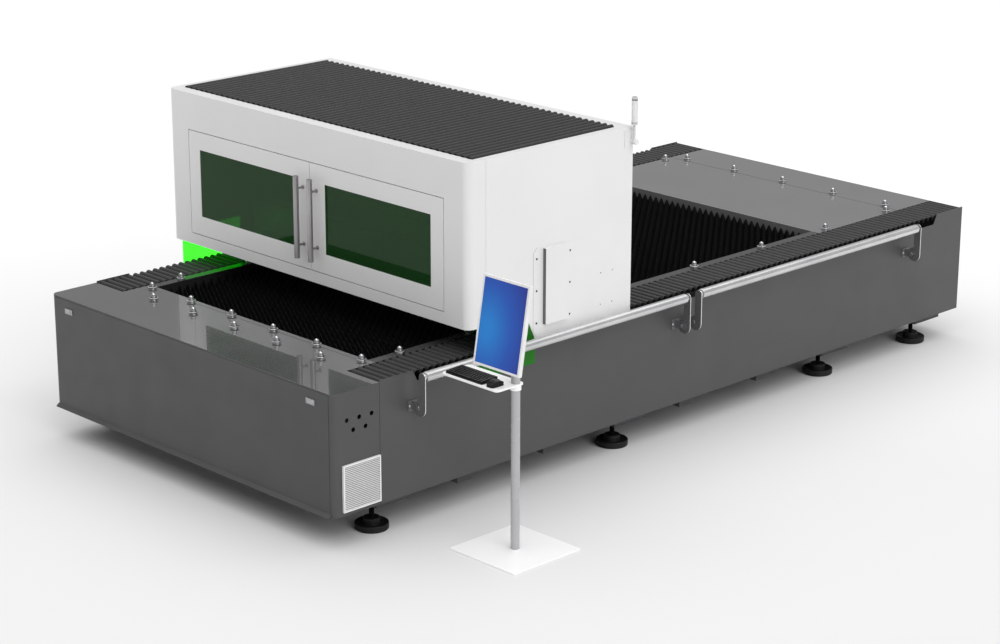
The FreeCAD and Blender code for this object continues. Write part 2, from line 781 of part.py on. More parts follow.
def arm_plate(y):
    """Flat arm: a round lobe at the pivot and an upright that ends round the roller's axle."""
    z_top = roller_z
    left, right = roller_x - arm_half, roller_x + arm_half
    v = FreeCAD.Vector
    points = [v(right, y, z_top), v(roller_x, y, z_top + arm_half), v(left, y, z_top),
              v(left, y, pivot_z + arm_shoulder),
              v(pivot_x - arm_waist[0], y, pivot_z + arm_waist[1]), v(arm_lobe_x - arm_lobe, y, pivot_z),
              v(arm_lobe_x, y, pivot_z - arm_lobe), v(arm_lobe_x + arm_lobe, y, pivot_z)]
    edges = [Part.Arc(points[0], points[1], points[2]).toShape(),
             Part.LineSegment(points[2], points[3]).toShape(),
             Part.LineSegment(points[3], points[4]).toShape(),
             Part.LineSegment(points[4], points[5]).toShape(),
             Part.Arc(points[5], points[6], points[7]).toShape(),
             Part.LineSegment(points[7], points[0]).toShape()]
    plate = Part.Face(Part.Wire(edges)).extrude(v(0, arm_thickness, 0))
    plate.translate(v(0, -arm_thickness / 2, 0))
    bore = rod(pivot_pin + 2 * running_clearance, (pivot_x, y - arm_thickness, pivot_z),
               (pivot_x, y + arm_thickness, pivot_z))
    return plate.cut(bore)


def roller_frame(first, last):
    """Two arms welded to the ends of one long axle."""
    axle = rod(axle_diameter, (roller_x, first, roller_z), (roller_x, last, roller_z))
    return axle.fuse([arm_plate(first), arm_plate(last)]).removeSplitter()


def roller(first, last):
    """Tube with a bored plug in each end, free to turn on the axle."""
    end_gap = arm_thickness / 2 + 1.5
    start, end = first + end_gap, last - end_gap
    plug = 30.0
    tube = rod(roller_diameter, (roller_x, start, roller_z), (roller_x, end, roller_z))
    hollow = rod(roller_diameter - 2 * roller_wall, (roller_x, start + plug, roller_z),
                 (roller_x, end - plug, roller_z))
    bore = rod(axle_diameter + 2 * running_clearance, (roller_x, start - 1, roller_z),
               (roller_x, end + 1, roller_z))
    return tube.cut(hollow).cut(bore)


def roller_lug(y, first, last):
    """Bracket bolted to the side panel, with one lug for the pivot pin."""
    middle = lug_y(y, first, last)
    base_face = half_bed + lug_base_thickness
    y_span = (middle - lug_thickness / 2, middle + lug_thickness / 2)
    base = box((half_bed, base_face), (middle - lug_base_length / 2, middle + lug_base_length / 2),
               (pivot_z - lug_base_height / 2, pivot_z + lug_base_height / 2))
    web = box((base_face, pivot_x), y_span, (pivot_z - lug_nose / 2, pivot_z + lug_nose / 2))
    nose = rod(lug_nose, (pivot_x, y_span[0], pivot_z), (pivot_x, y_span[1], pivot_z))
    cuts = [rod(pivot_pin, (pivot_x, y_span[0] - 1, pivot_z), (pivot_x, y_span[1] + 1, pivot_z))]
    for side in (-1, 1):
        b = middle + side * lug_bolt_pitch / 2
        cuts.append(rod(lug_bolt, (half_bed - 1, b, pivot_z), (base_face + 1, b, pivot_z)))
    return base.fuse([web, nose]).removeSplitter().cut(Part.makeCompound(cuts))


def pivot_bolt(y, first, last):
    """Shouldered pin with a flat head outside the arm and a nut behind the lug."""
    inward = 1 if y == first else -1
    head_face = y - inward * (arm_thickness / 2 + 0.5)
    nut_face = lug_y(y, first, last) + inward * lug_thickness / 2
    end = nut_face + inward * pin_tail
    shank = rod(pivot_pin, (pivot_x, head_face, pivot_z), (pivot_x, end, pivot_z))
    head_end = head_face - inward * pin_head_height
    head = rod(pin_head, (pivot_x, head_face, pivot_z), (pivot_x, head_end, pivot_z))
    nut = rod(pin_nut, (pivot_x, nut_face, pivot_z), (pivot_x, end, pivot_z))
    return shank.fuse([head, nut]).removeSplitter()


arm_ends = [(y, first, last) for first, last in arm_y for y in (first, last)]
save("roller_brackets", [roller_lug(*end) for end in arm_ends])
save("roller_pivot_pins", [pivot_bolt(*end) for end in arm_ends])
for label, (first, last) in zip(("front", "rear"), arm_y):
    save(label + "_roller_frame", roller_frame(first, last))
    save(label + "_roller", roller(first, last))


# ---- cabin shell ----
hinge_x = door_outer - hinge_in
hinge_y = cabin_front + hinge_back
pin_reach = 22.0
hinge_rail_height = 40.0
hinge_rail_back = 44.0       # back face of the hinge rails, behind the cabin's face


def hinge_pins():
    """Four pivot pins: one above and one below the outer edge of each door."""
    pins = []
    for side in (-1, 1):
        for z in (door_bottom - door_gap - pin_reach, door_top - pin_reach):
            pins.append(rod(hinge_pin, (side * hinge_x, hinge_y, z),
                            (side * hinge_x, hinge_y, z + 2 * pin_reach + door_gap)))
    return pins


def cabin_front_shell():
    """Front casing with rounded corners, a doorway, hinge rails above and below it and a roof rim."""
    half = cabin_half_width
    outer = box((-half, half), (cabin_front, shell_rear), (cabin_bottom, cabin_top))
    outer = round_uprights(outer, shell_corner, lambda p: p.y < cabin_front + 1)
    inner = box((-half + sheet, half - sheet), (cabin_front + sheet, shell_rear + 1),
                (cabin_bottom - 1, cabin_top - sheet))
    inner = round_uprights(inner, shell_corner - sheet, lambda p: p.y < cabin_front + sheet + 1)
    shell = outer.cut(inner)
    low, high = door_bottom - door_gap, door_top + door_gap
    rail_y = (cabin_front + sheet, cabin_front + hinge_rail_back)
    rails = [box((-half + rim_side, half - rim_side), rail_y, span)
             for span in ((low - hinge_rail_height, low), (high, high + hinge_rail_height))]
    shell = shell.multiFuse(rails).removeSplitter()
    doorway = box((-door_outer - door_gap, door_outer + door_gap), (cabin_front - 1, cabin_front + sheet + 1),
                  (low, high))
    roof = box((-half + rim_side, half - rim_side), (cabin_front + rim_front, shell_rear + 1),
               (cabin_top - sheet - 1, cabin_top + 1))
    return shell.cut(Part.makeCompound([doorway, roof] + hinge_pins()))


side_wall_front = shell_rear + joint_gap
joggle_reach = 27.0
curtain_y = (cabin_front + 72.0, cabin_front + 559.0)
curtain_z = (cabin_bottom - 324.0, cabin_bottom + 42.0)
curtain_thickness = 5.0
service_y = (cabin_front + 537.0, cabin_front + 873.0)
service_z = (skirt_bottom + 65.0, skirt_bottom + 623.0)
service_box_y = (service_y[0] + 82.0, service_y[1] - 54.0)
service_box_z = (service_z[0] + 68.0, service_z[1] - 14.0)
service_proud = 26.0
service_screw_y = (service_y[0] + 26.0, service_y[1] - 26.0)
service_screw_z = (service_z[0] + 84.0, service_z[0] + 287.0, service_z[0] + 487.0)
service_chamfer = 30.0
port_margin = 20.0           # opening in the wall, in from the raised box
plate_thickness = 1.5
screw_shank = 5.0
fixing_hole = 9.0
fixing_y = (cabin_rear - 270.0, cabin_rear - 167.0)
fixing_z = service_screw_z[:2]


def side_wall():
    """Wall that slopes down to a skirt outside the bed and folds in along the roof.

    A strip behind its front edge laps the front shell and joins the two."""
    outline = [(side_wall_front, cabin_bottom), (skirt_top_y, cabin_bottom), (skirt_low_y, skirt_bottom),
               (cabin_rear, skirt_bottom), (cabin_rear, cabin_top), (side_wall_front, cabin_top)]
    wall = prism_x(outline, cabin_wall_inner, cabin_half_width)
    fold = box((cabin_half_width - rim_side, cabin_wall_inner), (side_wall_front, cabin_rear),
               (cabin_top - sheet, cabin_top))
    joggle = box((cabin_wall_inner - thin_sheet, cabin_wall_inner),
                 (side_wall_front - joggle_reach, side_wall_front + joggle_reach),
                 (curtain_z[1] + joint_gap, cabin_top - sheet))
    return wall.multiFuse([fold, joggle]).removeSplitter()


def right_wall():
    """The right-hand wall also has the holes behind the service cover and four spare fixing holes."""
    holes = [rod(screw_shank, (cabin_wall_inner - 1, y, z), (cabin_half_width + 1, y, z))
             for y in service_screw_y for z in service_screw_z]
    holes += [rod(fixing_hole, (cabin_wall_inner - 1, y, z), (cabin_half_width + 1, y, z))
              for y in fixing_y for z in fixing_z]
    port = box((cabin_wall_inner - 1, cabin_half_width + 1),
               (service_box_y[0] + port_margin, service_box_y[1] - port_margin),
               (service_box_z[0] + port_margin, service_box_z[1] - port_margin))
    return side_wall().cut(Part.makeCompound(holes + [port]))


rear_wall_clearance = 70.0   # under the rear wall, above the decks
roof_span_x = cabin_half_width - rim_side
roof_span_y = (cabin_front + rim_front, cabin_rear - rim_rear)


def rear_panel():
    """Rear wall between the sides, folded forwards to carry the roof."""
    wall = box((-cabin_wall_inner, cabin_wall_inner), (cabin_rear - sheet, cabin_rear),
               (deck_top + rear_wall_clearance, cabin_top - sheet))
    fold = box((-roof_span_x, roof_span_x), (roof_span_y[1], cabin_rear), (cabin_top - sheet, cabin_top))
    return wall.fuse(fold).removeSplitter()


def roof_pleats():
    """Pleated roof cover: ribs run along the bed and are set side by side across it."""
    pitch = 2 * roof_span_x / roof_pleat_count
    high = cabin_top + roof_rise
    outline = zigzag(-roof_span_x, pitch, roof_pleat_count, high - roof_pleat_height, high, bellows_skin)
    return prism_y(outline, *roof_span_y)


def service_cover():
    """Screwed plate with a shallow raised box."""
    x = cabin_half_width
    chamfer = service_chamfer
    y0, y1 = service_y
    z0, z1 = service_z
    outline = [(y0 + chamfer, z0), (y1 - chamfer, z0), (y1, z0 + chamfer), (y1, z1 - chamfer),
               (y1 - chamfer, z1), (y0 + chamfer, z1), (y0, z1 - chamfer), (y0, z0 + chamfer)]
    plate = prism_x(outline, x, x + plate_thickness)
    raised = box((x, x + service_proud), service_box_y, service_box_z)
    hollow = box((x - 1, x + service_proud - thin_sheet),
                 (service_box_y[0] + thin_sheet, service_box_y[1] - thin_sheet),
                 (service_box_z[0] + thin_sheet, service_box_z[1] - thin_sheet))
    holes = [rod(screw_shank, (x - 1, y, z), (x + 5, y, z)) for y in service_screw_y for z in service_screw_z]
    return plate.fuse(raised).removeSplitter().cut(Part.makeCompound([hollow] + holes))


screw_head = 12.0
screw_head_height = 3.5
screw_socket = 4.5
screw_tail = 6.0             # thread that shows inside the wall


def cover_screw(y, z):
    """Pan-head screw through the service cover into the wall."""
    seat = cabin_half_width + plate_thickness
    crown = seat + screw_head_height
    shank = rod(screw_shank, (cabin_wall_inner - screw_tail, y, z), (seat, y, z))
    head = rod(screw_head, (seat, y, z), (crown, y, z))
    socket = rod(screw_socket, (crown - 2, y, z), (crown + 1, y, z))
    return shank.fuse(head).removeSplitter().cut(socket)


def side_curtain():
    """Green acrylic guard hung inside the wall, down past the top of the bed."""
    return box((cabin_wall_inner - curtain_thickness, cabin_wall_inner), curtain_y, curtain_z)


save("cabin_front_shell", cabin_front_shell())
save("cabin_side_right", right_wall())
save("cabin_side_left", mirrored(side_wall()))
save("cabin_rear_panel", rear_panel())
save("roof_pleats", roof_pleats())
save("service_cover", service_cover())
save("cover_screws", [cover_screw(y, z) for y in service_screw_y for z in service_screw_z])
save("side_curtains", both_sides(side_curtain()))
save("door_hinge_pins", hinge_pins())


# ---- doors, windows and handles ----
def right_door():
    """Folded pan with a window opening and solid blocks that carry the pivot bores."""
    x0, x1 = seam_half, door_outer
    pan = box((x0, x1), (cabin_front, door_back), (door_bottom, door_top))
    t = thin_sheet
    pan = pan.cut(box((x0 + t, x1 - t), (cabin_front + t, door_back + 1), (door_bottom + t, door_top - t)))
    block = 30.0
    depth = (cabin_front + t, door_back - t)
    blocks = [box((x1 - block, x1 - t), depth, (door_bottom + t, door_bottom + block)),
              box((x1 - block, x1 - t), depth, (door_top - block, door_top - t))]
    pan = pan.fuse(blocks).removeSplitter()
    window = box((x0 + window_inset_seam, x1 - window_inset_hinge), (cabin_front - 1, cabin_front + t + 1),
                 (door_bottom + window_inset_bottom, door_top - window_inset_top))
    bores = []
    for z in (door_bottom - 1, door_top - pin_reach - 1):
        bores.append(rod(hinge_pin + 2 * running_clearance, (hinge_x, hinge_y, z),
                         (hinge_x, hinge_y, z + pin_reach + 2)))
    return pan.cut(Part.makeCompound([window] + bores))


def right_window():
    """Dark laser-safe pane bonded behind the door's face."""
    return box((seam_half + window_inset_seam - window_lap, door_outer - window_inset_hinge + window_lap),
               (cabin_front + thin_sheet, cabin_front + thin_sheet + window_thickness),
               (door_bottom + window_inset_bottom - window_lap, door_top - window_inset_top + window_lap))


def right_handle():
    """Straight tube on two legs, close to the seam between the doors."""
    y = cabin_front - handle_standoff
    middle = (door_bottom + door_top) / 2 - 6
    grip = rod(handle_diameter, (handle_offset, y, middle - handle_length / 2),
               (handle_offset, y, middle + handle_length / 2))
    legs = [rod(14.0, (handle_offset, y, middle + side * handle_leg_pitch / 2),
                (handle_offset, cabin_front, middle + side * handle_leg_pitch / 2)) for side in (-1, 1)]
    return grip.fuse(legs).removeSplitter()


for piece, build in (("door", right_door), ("window", right_window), ("handle", right_handle)):
    save("right_" + piece, build())
    save("left_" + piece, mirrored(build()))


# ---- gantry, cross carriage and cutting head ----
beam_bottom = carriage_top + 10.0
beam_top = beam_bottom + beam_size
beam_rear = beam_front + beam_size
bearing_length = 120.0
bearing_half = 38.0
bearing_lift = 8.0
saddle_lift = 6.0            # saddles, over the rails
carriage_end = 20.0          # bearings, in from the saddles' ends
coil_in = 200.0              # motor coils, in from the saddles' ends
coil_gap = 1.0
bracket_front = 20.0         # wall brackets start this far in front of the beam
rail_clearance = 0.5
way_height = 24.0
way_depth = 14.0
way_drop = 30.0
cross_half = 130.0
cross_thickness = 26.0
cross_gap = 1.0


def gantry_carriage():
    """Saddle that rides one rail, carries the beam and holds the cabin wall on a bracket."""
    saddle_bottom = rail_top + saddle_lift
    saddle = box((carriage_inner, carriage_outer), (carriage_front, carriage_rear),
                 (saddle_bottom, carriage_top))
    parts = []
    for y in (carriage_front + carriage_end, carriage_rear - carriage_end - bearing_length):
        bearing = box((frame_beam_x - bearing_half, frame_beam_x + bearing_half), (y, y + bearing_length),
                      (frame_beam_top + bearing_lift, saddle_bottom))
        groove = rail_width / 2 + rail_clearance
        rail = box((frame_beam_x - groove, frame_beam_x + groove), (y - 1, y + bearing_length + 1),
                   (frame_beam_top, rail_top + rail_clearance))
        parts.append(bearing.cut(rail))
    coil = box((track_x - track_width / 2, track_x + track_width / 2),
               (carriage_front + coil_in, carriage_rear - coil_in),
               (frame_beam_top + track_height + coil_gap, saddle_bottom))
    bracket = box((carriage_inner, cabin_wall_inner), (beam_front - bracket_front, carriage_rear),
                  (carriage_top, beam_bottom))
    return saddle.multiFuse(parts + [coil, bracket]).removeSplitter()


def gantry_beam():
    """Hollow beam across the bed, with two guideways on its front face."""
    half = carriage_outer
    tube = box((-half, half), (beam_front, beam_rear), (beam_bottom, beam_top))
    hollow = box((-half - 1, half + 1), (beam_front + beam_wall, beam_rear - beam_wall),
                 (beam_bottom + beam_wall, beam_top - beam_wall))
    ways = [box((-half, half), (beam_front - way_depth, beam_front), (z, z + way_height))
            for z in (beam_bottom + way_drop, beam_top - way_drop - way_height)]
    return tube.cut(hollow).multiFuse(ways).removeSplitter()


def cross_carriage():
    """Plate with two grooved bearings on the beam's guideways and a vertical slide in front."""
    back = beam_front - way_depth - cross_gap
    plate = box((-cross_half, cross_half), (back - cross_thickness, back), (beam_bottom + 6, beam_top - 6))
    pads = []
    for z in (beam_bottom + way_drop, beam_top - way_drop - way_height):
        pad = box((-cross_half + 10, cross_half - 10), (back, beam_front - cross_gap),
                  (z - 14, z + way_height + 14))
        groove = box((-cross_half, cross_half), (back - 1, beam_front), (z - 0.5, z + way_height + 0.5))
        pads.append(pad.cut(groove))
    slide = box((-jaw_inner + 1, jaw_inner - 1), (head_y + head_radius + 4, back - cross_thickness),
                (beam_bottom + 40, beam_top + 60))
    return plate.multiFuse(pads + [slide]).removeSplitter()


jaw_inner = 31.0             # cheeks of the clamp, either side of the vertical slide
jaw_outer = 52.0
jaw_z = (130.0, 300.0)       # clamp, over the nozzle's tip


def cutting_head():
    """Cylindrical head with a conical nozzle, clamped to the plate that slides on the cross carriage."""
    tip = nozzle_z
    profile = [(0, tip), (6, tip), (28, tip + 60), (28, tip + 80), (head_radius, tip + 100),
               (head_radius, tip + 330), (32, tip + 345), (32, tip + 400), (0, tip + 400)]
    body = spin(profile, 0, head_y)
    jaw_span = (tip + jaw_z[0], tip + jaw_z[1])
    front = head_y + head_radius - 12
    grip = box((-jaw_outer, jaw_outer), (front, head_y + head_radius + 3), jaw_span)
    cheek = box((jaw_inner, jaw_outer), (front, head_y + head_radius + 24), jaw_span)
    return body.multiFuse([grip, cheek, mirrored(cheek)]).removeSplitter()


save("gantry_carriages", both_sides(gantry_carriage()))
save("gantry_beam", gantry_beam())
save("cross_carriage", cross_carriage())
save("cutting_head", cutting_head())


# ---- folding signal lamp ----
lamp_x = cabin_half_width + 28.0
lamp_bolt = 8.0
eye_half = 8.0
eye_radius = 16.0


def beacon_bracket():
    """Wall plate with a boss and a clamp bolt that ends in a round knob."""
    x = cabin_half_width
    plate = box((x, x + 4), (lamp_y - 55, lamp_y + 16), (lamp_pivot_z - 34, lamp_pivot_z + 70))
    boss = rod(30.0, (x + 4, lamp_y, lamp_pivot_z), (lamp_x - eye_half - 0.5, lamp_y, lamp_pivot_z))
    bolt = rod(lamp_bolt, (x + 4, lamp_y, lamp_pivot_z), (lamp_x + eye_half + 4, lamp_y, lamp_pivot_z))
    knob = rod(34.0, (lamp_x + eye_half + 0.5, lamp_y, lamp_pivot_z),
               (lamp_x + eye_half + 16, lamp_y, lamp_pivot_z))
    return plate.multiFuse([boss, bolt, knob]).removeSplitter()


def beacon_pole():
    """Short pole that ends in a flat eye at the clamp bolt and a collar under the lens."""
    z = lamp_pivot_z
    eye = rod(2 * eye_radius, (lamp_x - eye_half, lamp_y, z), (lamp_x + eye_half, lamp_y, z))
    pole = rod(2 * eye_half, (lamp_x, lamp_y, z + eye_half), (lamp_x, lamp_y, lamp_bottom - 10))
    collar = rod(lamp_diameter, (lamp_x, lamp_y, lamp_bottom - 10), (lamp_x, lamp_y, lamp_bottom))
    bore = rod(lamp_bolt + 2 * running_clearance, (lamp_x - 30, lamp_y, z), (lamp_x + 30, lamp_y, z))
    return eye.multiFuse([pole, collar]).removeSplitter().cut(bore)


def beacon_lens():
    """Clear stack with a shallow groove below its domed cap."""
    r = lamp_diameter / 2
    groove = lamp_top - 24
    profile = [(0, lamp_bottom), (r - 1, lamp_bottom), (r - 1, groove), (r - 3, groove), (r - 3, groove + 5),
               (r - 1, groove + 5), (r - 1, lamp_top - 8), (r - 6, lamp_top - 2), (0, lamp_top)]
    return spin(profile, lamp_x, lamp_y)


save("beacon_bracket", beacon_bracket())
save("beacon_pole", beacon_pole())
save("beacon_lens", beacon_lens())


# ---- operator stand ----
post_wall = 3.0
post_cap = 5.0
base_corner = 14.0
tray_right = stand_x + post_diameter / 2 + 8
tray_thickness = 10.0
collar_radius = post_diameter / 2 + 9
screen_pin = 12.0
screen_pivot_back = 22.0     # pivot, behind the housing's rear face
lug_inner = 20.0
lug_outer = 34.0
lean = math.radians(screen_lean)


def behind_screen(distance):
    """Y and Z of a point square behind the middle of the screen."""
    return screen_centre_y + distance * math.cos(lean), screen_centre_z - distance * math.sin(lean)


pivot_y, pivot_height = behind_screen(screen_thickness / 2 + screen_pivot_back)


def stand_base():
    half = base_side / 2
    plate = box((stand_x - half, stand_x + half), (stand_y - half, stand_y + half), (0, base_thickness))
    return round_uprights(plate, base_corner, lambda p: True)


def stand_post():
    """Round tube with a closed top."""
    tube = rod(post_diameter, (stand_x, stand_y, base_thickness), (stand_x, stand_y, post_top))
    bore = rod(post_diameter - 2 * post_wall, (stand_x, stand_y, base_thickness - 1),
               (stand_x, stand_y, post_top - post_cap))
    return tube.cut(bore)


def stand_tray():
    """Shallow folded tray with a clamp collar around the post."""
    tray = box((tray_left, tray_right), (tray_front, tray_back), (tray_top - tray_thickness, tray_top))
    tray = round_uprights(tray, 26.0, lambda p: True)
    under = box((tray_left + 3, tray_right - 3), (tray_front + 3, tray_back - 3),
                (tray_top - tray_thickness - 1, tray_top - 3))
    tray = tray.cut(round_uprights(under, 23.0, lambda p: True))
    collar = rod(2 * collar_radius - 6, (stand_x, stand_y, tray_top - 40), (stand_x, stand_y, tray_top - 1))
    post = rod(post_diameter, (stand_x, stand_y, tray_top - 60), (stand_x, stand_y, tray_top + 10))
    return tray.fuse(collar).removeSplitter().cut(post)


def screen_bracket():
    """Clamp on the post with an arm that holds the screen's pivot pin."""
    z0, z1 = pivot_height - 24, pivot_height + 20
    clamp = rod(2 * collar_radius, (stand_x, stand_y, z0), (stand_x, stand_y, z1))
    arm = box((stand_x - 18, stand_x + 18), (pivot_y, stand_y), (pivot_height - 12, pivot_height + 12))
    nose = rod(24, (stand_x - 18, pivot_y, pivot_height), (stand_x + 18, pivot_y, pivot_height))
    pin = rod(screen_pin, (stand_x - lug_outer - 4, pivot_y, pivot_height),
              (stand_x + lug_outer + 4, pivot_y, pivot_height))
    post = rod(post_diameter, (stand_x, stand_y, z0 - 1), (stand_x, stand_y, z1 + 1))
    return clamp.multiFuse([arm, nose]).cut(post).fuse(pin).removeSplitter()


def tilted(shape):
    """Lean a piece that was built upright around the middle of the screen."""
    centre = FreeCAD.Vector(stand_x, screen_centre_y, screen_centre_z)
    placed = shape.copy()
    placed.rotate(centre, FreeCAD.Vector(1, 0, 0), -screen_lean)
    return placed


glass_inset = 14.0
glass_thickness = 3.0


def monitor_housing():
    """Screen casing with a front recess for the glass and two lugs at the back."""
    y0 = screen_centre_y - screen_thickness / 2
    y1 = screen_centre_y + screen_thickness / 2
    x_span = (stand_x - screen_width / 2, stand_x + screen_width / 2)
    z_span = (screen_centre_z - screen_height / 2, screen_centre_z + screen_height / 2)
    case = box(x_span, (y0, y1), z_span)
    recess = box((x_span[0] + glass_inset, x_span[1] - glass_inset), (y0 - 1, y0 + glass_thickness),
                 (z_span[0] + glass_inset, z_span[1] - glass_inset))
    case = case.cut(recess)
    y_pin = y1 + screen_pivot_back
    lugs = []
    for a, b in ((-lug_outer, -lug_inner), (lug_inner, lug_outer)):
        web = box((stand_x + a, stand_x + b), (y1, y_pin), (screen_centre_z - 14, screen_centre_z + 14))
        nose = rod(28, (stand_x + a, y_pin, screen_centre_z), (stand_x + b, y_pin, screen_centre_z))
        lugs += [web, nose]
    bore = rod(screen_pin + 2 * running_clearance, (stand_x - 60, y_pin, screen_centre_z),
               (stand_x + 60, y_pin, screen_centre_z))
    return tilted(case.multiFuse(lugs).removeSplitter().cut(bore))


def screen_glass():
    """Glass that fills the recess in the casing."""
    y0 = screen_centre_y - screen_thickness / 2
    half_width = screen_width / 2 - glass_inset
    half_height = screen_height / 2 - glass_inset
    return tilted(box((stand_x - half_width, stand_x + half_width), (y0, y0 + glass_thickness),
                      (screen_centre_z - half_height, screen_centre_z + half_height)))


keyboard_x = (tray_left + 22.0, tray_left + 322.0)
keyboard_y = (tray_front + 15.0, tray_front + 145.0)
keyboard_height = 14.0
mouse_x = (tray_left + 352.0, tray_left + 412.0)
mouse_y = (tray_front + 13.0, tray_front + 113.0)
mouse_height = 32.0
mouse_nose = 10.0
mouse_heel = 14.0
mouse_corner = 20.0


def keyboard():
    """Flat keyboard that rises slightly to the back."""
    y0, y1 = keyboard_y
    outline = [(y0, tray_top), (y1, tray_top), (y1, tray_top + keyboard_height + 6),
               (y0, tray_top + keyboard_height)]
    body = prism_x(outline, *keyboard_x)
    return round_uprights(body, 8.0, lambda p: True)


def mouse():
    """Palm-shaped mouse: a lengthwise curve carried across and rounded off."""
    y0, y1 = mouse_y
    x0, x1 = mouse_x
    z = tray_top
    v = FreeCAD.Vector
    nose, crown = v(x0, y0, z + mouse_nose), v(x0, (y0 + y1) / 2 - 12, z + mouse_height)
    heel = v(x0, y1, z + mouse_heel)
    sides = [Part.Arc(nose, crown, heel).toShape(),
             Part.LineSegment(heel, v(x0, y1, z)).toShape(),
             Part.LineSegment(v(x0, y1, z), v(x0, y0, z)).toShape(),
             Part.LineSegment(v(x0, y0, z), nose).toShape()]
    body = Part.Face(Part.Wire(sides)).extrude(v(x1 - x0, 0, 0))
    return round_uprights(body, mouse_corner, lambda p: True)


save("stand_base", stand_base())
save("stand_post", stand_post())
save("stand_tray", stand_tray())
save("screen_bracket", screen_bracket())
save("monitor_housing", monitor_housing())
save("screen_glass", screen_glass())
save("keyboard", keyboard())
save("mouse", mouse())
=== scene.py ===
import json
import math
import bmesh
import bpy
from mathutils import Matrix, Vector

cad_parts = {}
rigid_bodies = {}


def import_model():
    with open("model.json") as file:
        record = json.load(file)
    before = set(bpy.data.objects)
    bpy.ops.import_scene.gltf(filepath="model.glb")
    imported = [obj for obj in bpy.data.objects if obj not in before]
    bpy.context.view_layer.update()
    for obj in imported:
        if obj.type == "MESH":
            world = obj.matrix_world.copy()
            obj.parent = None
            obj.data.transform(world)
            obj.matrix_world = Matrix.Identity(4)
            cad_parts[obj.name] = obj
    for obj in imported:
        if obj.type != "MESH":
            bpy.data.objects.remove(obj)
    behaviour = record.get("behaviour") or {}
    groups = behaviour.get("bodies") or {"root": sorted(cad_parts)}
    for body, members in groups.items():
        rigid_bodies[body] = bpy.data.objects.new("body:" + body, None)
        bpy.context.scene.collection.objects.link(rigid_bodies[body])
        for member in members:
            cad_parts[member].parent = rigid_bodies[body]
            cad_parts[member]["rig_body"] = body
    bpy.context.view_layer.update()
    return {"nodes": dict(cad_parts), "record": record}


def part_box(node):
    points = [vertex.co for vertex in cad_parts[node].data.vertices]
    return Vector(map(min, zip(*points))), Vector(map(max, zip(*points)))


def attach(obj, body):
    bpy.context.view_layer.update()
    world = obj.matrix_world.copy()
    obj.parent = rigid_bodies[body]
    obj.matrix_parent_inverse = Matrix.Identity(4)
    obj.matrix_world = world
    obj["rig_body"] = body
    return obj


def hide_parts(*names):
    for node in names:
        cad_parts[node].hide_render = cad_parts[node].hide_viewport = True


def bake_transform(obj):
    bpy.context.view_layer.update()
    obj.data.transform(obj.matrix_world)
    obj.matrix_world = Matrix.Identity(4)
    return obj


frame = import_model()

# Flatbed fibre laser cutting machine: a long slatted bed, a cabin that travels along it with the
# gantry and the cutting head inside, two folding side rollers and a free-standing operator stand.
# Metres. X runs across the bed, Y along it from the front housing to the rear, Z is up.

# ---- Studio: floor, light and camera ----
# A pale seamless floor, with painted shade round the machine, in a bright room. A wide soft light
# falls from overhead, and a weaker one from the right, so the cabin's side outshines its front.
CAMERA_PLACE = (11.328, -11.729, 5.681)
CAMERA_TURN = (math.radians(72.462), math.radians(-0.101), math.radians(45.918))
CAMERA_LENS = 91.75
ROOM_LIGHT = 0.28
OVERHEAD_LIGHT = 2.4
RIGHT_LIGHT = 1.05
FLOOR_SHADE_HEART = (2.5, -3.0, 0.0)
FLOOR_SHADE_SPREAD = 9.0
FLOOR_REACH = 600.0

bpy.context.scene.view_settings.view_transform = "Standard"


def studio_floor():
    mesh = bpy.data.meshes.new("studio_floor")
    corners = [(-FLOOR_REACH, -FLOOR_REACH, 0), (FLOOR_REACH, -FLOOR_REACH, 0),
               (FLOOR_REACH, FLOOR_REACH, 0), (-FLOOR_REACH, FLOOR_REACH, 0)]
    mesh.from_pydata(corners, [], [(0, 1, 2, 3)])
    floor = bpy.data.objects.new("studio_floor", mesh)
    bpy.context.scene.collection.objects.link(floor)
    paper = bpy.data.materials.new("seamless_paper")
    paper.use_nodes = True
    tree = paper.node_tree
    shader = tree.nodes["Principled BSDF"]
    place = tree.nodes.new("ShaderNodeTexCoord")
    # The floor's colour darkens towards the machine: painted shade round it.
    heart = tree.nodes.new("ShaderNodeMapping")
    heart.vector_type = "TEXTURE"
    heart.inputs["Location"].default_value = FLOOR_SHADE_HEART
    heart.inputs["Scale"].default_value = (FLOOR_SHADE_SPREAD, FLOOR_SHADE_SPREAD, FLOOR_SHADE_SPREAD)
    floor_shade_gradient = tree.nodes.new("ShaderNodeTexGradient")
    floor_shade_gradient.gradient_type = "SPHERICAL"
    shade = tree.nodes.new("ShaderNodeValToRGB")
    shade.color_ramp.elements[0].color = (0.88, 0.88, 0.88, 1)
    shade.color_ramp.elements[1].position = 0.6
    shade.color_ramp.elements[1].color = (0.76, 0.76, 0.76, 1)
    tree.links.new(place.outputs["Object"], heart.inputs["Vector"])
    tree.links.new(heart.outputs["Vector"], floor_shade_gradient.inputs["Vector"])
    tree.links.new(floor_shade_gradient.outputs["Fac"], shade.inputs["Fac"])
    tree.links.new(shade.outputs["Color"], shader.inputs["Base Color"])
    shader.inputs["Roughness"].default_value = 0.7
    shader.inputs["Specular IOR Level"].default_value = 0.2
    floor.data.materials.append(paper)


def soft_light(name, comes_from, spread, strength):
    lamp = bpy.data.lights.new(name, "SUN")
    lamp.angle = math.radians(spread)
    lamp.energy = strength
    stand = bpy.data.objects.new(name, lamp)
    stand.rotation_euler = Vector(comes_from).to_track_quat("Z", "Y").to_euler()
    bpy.context.scene.collection.objects.link(stand)


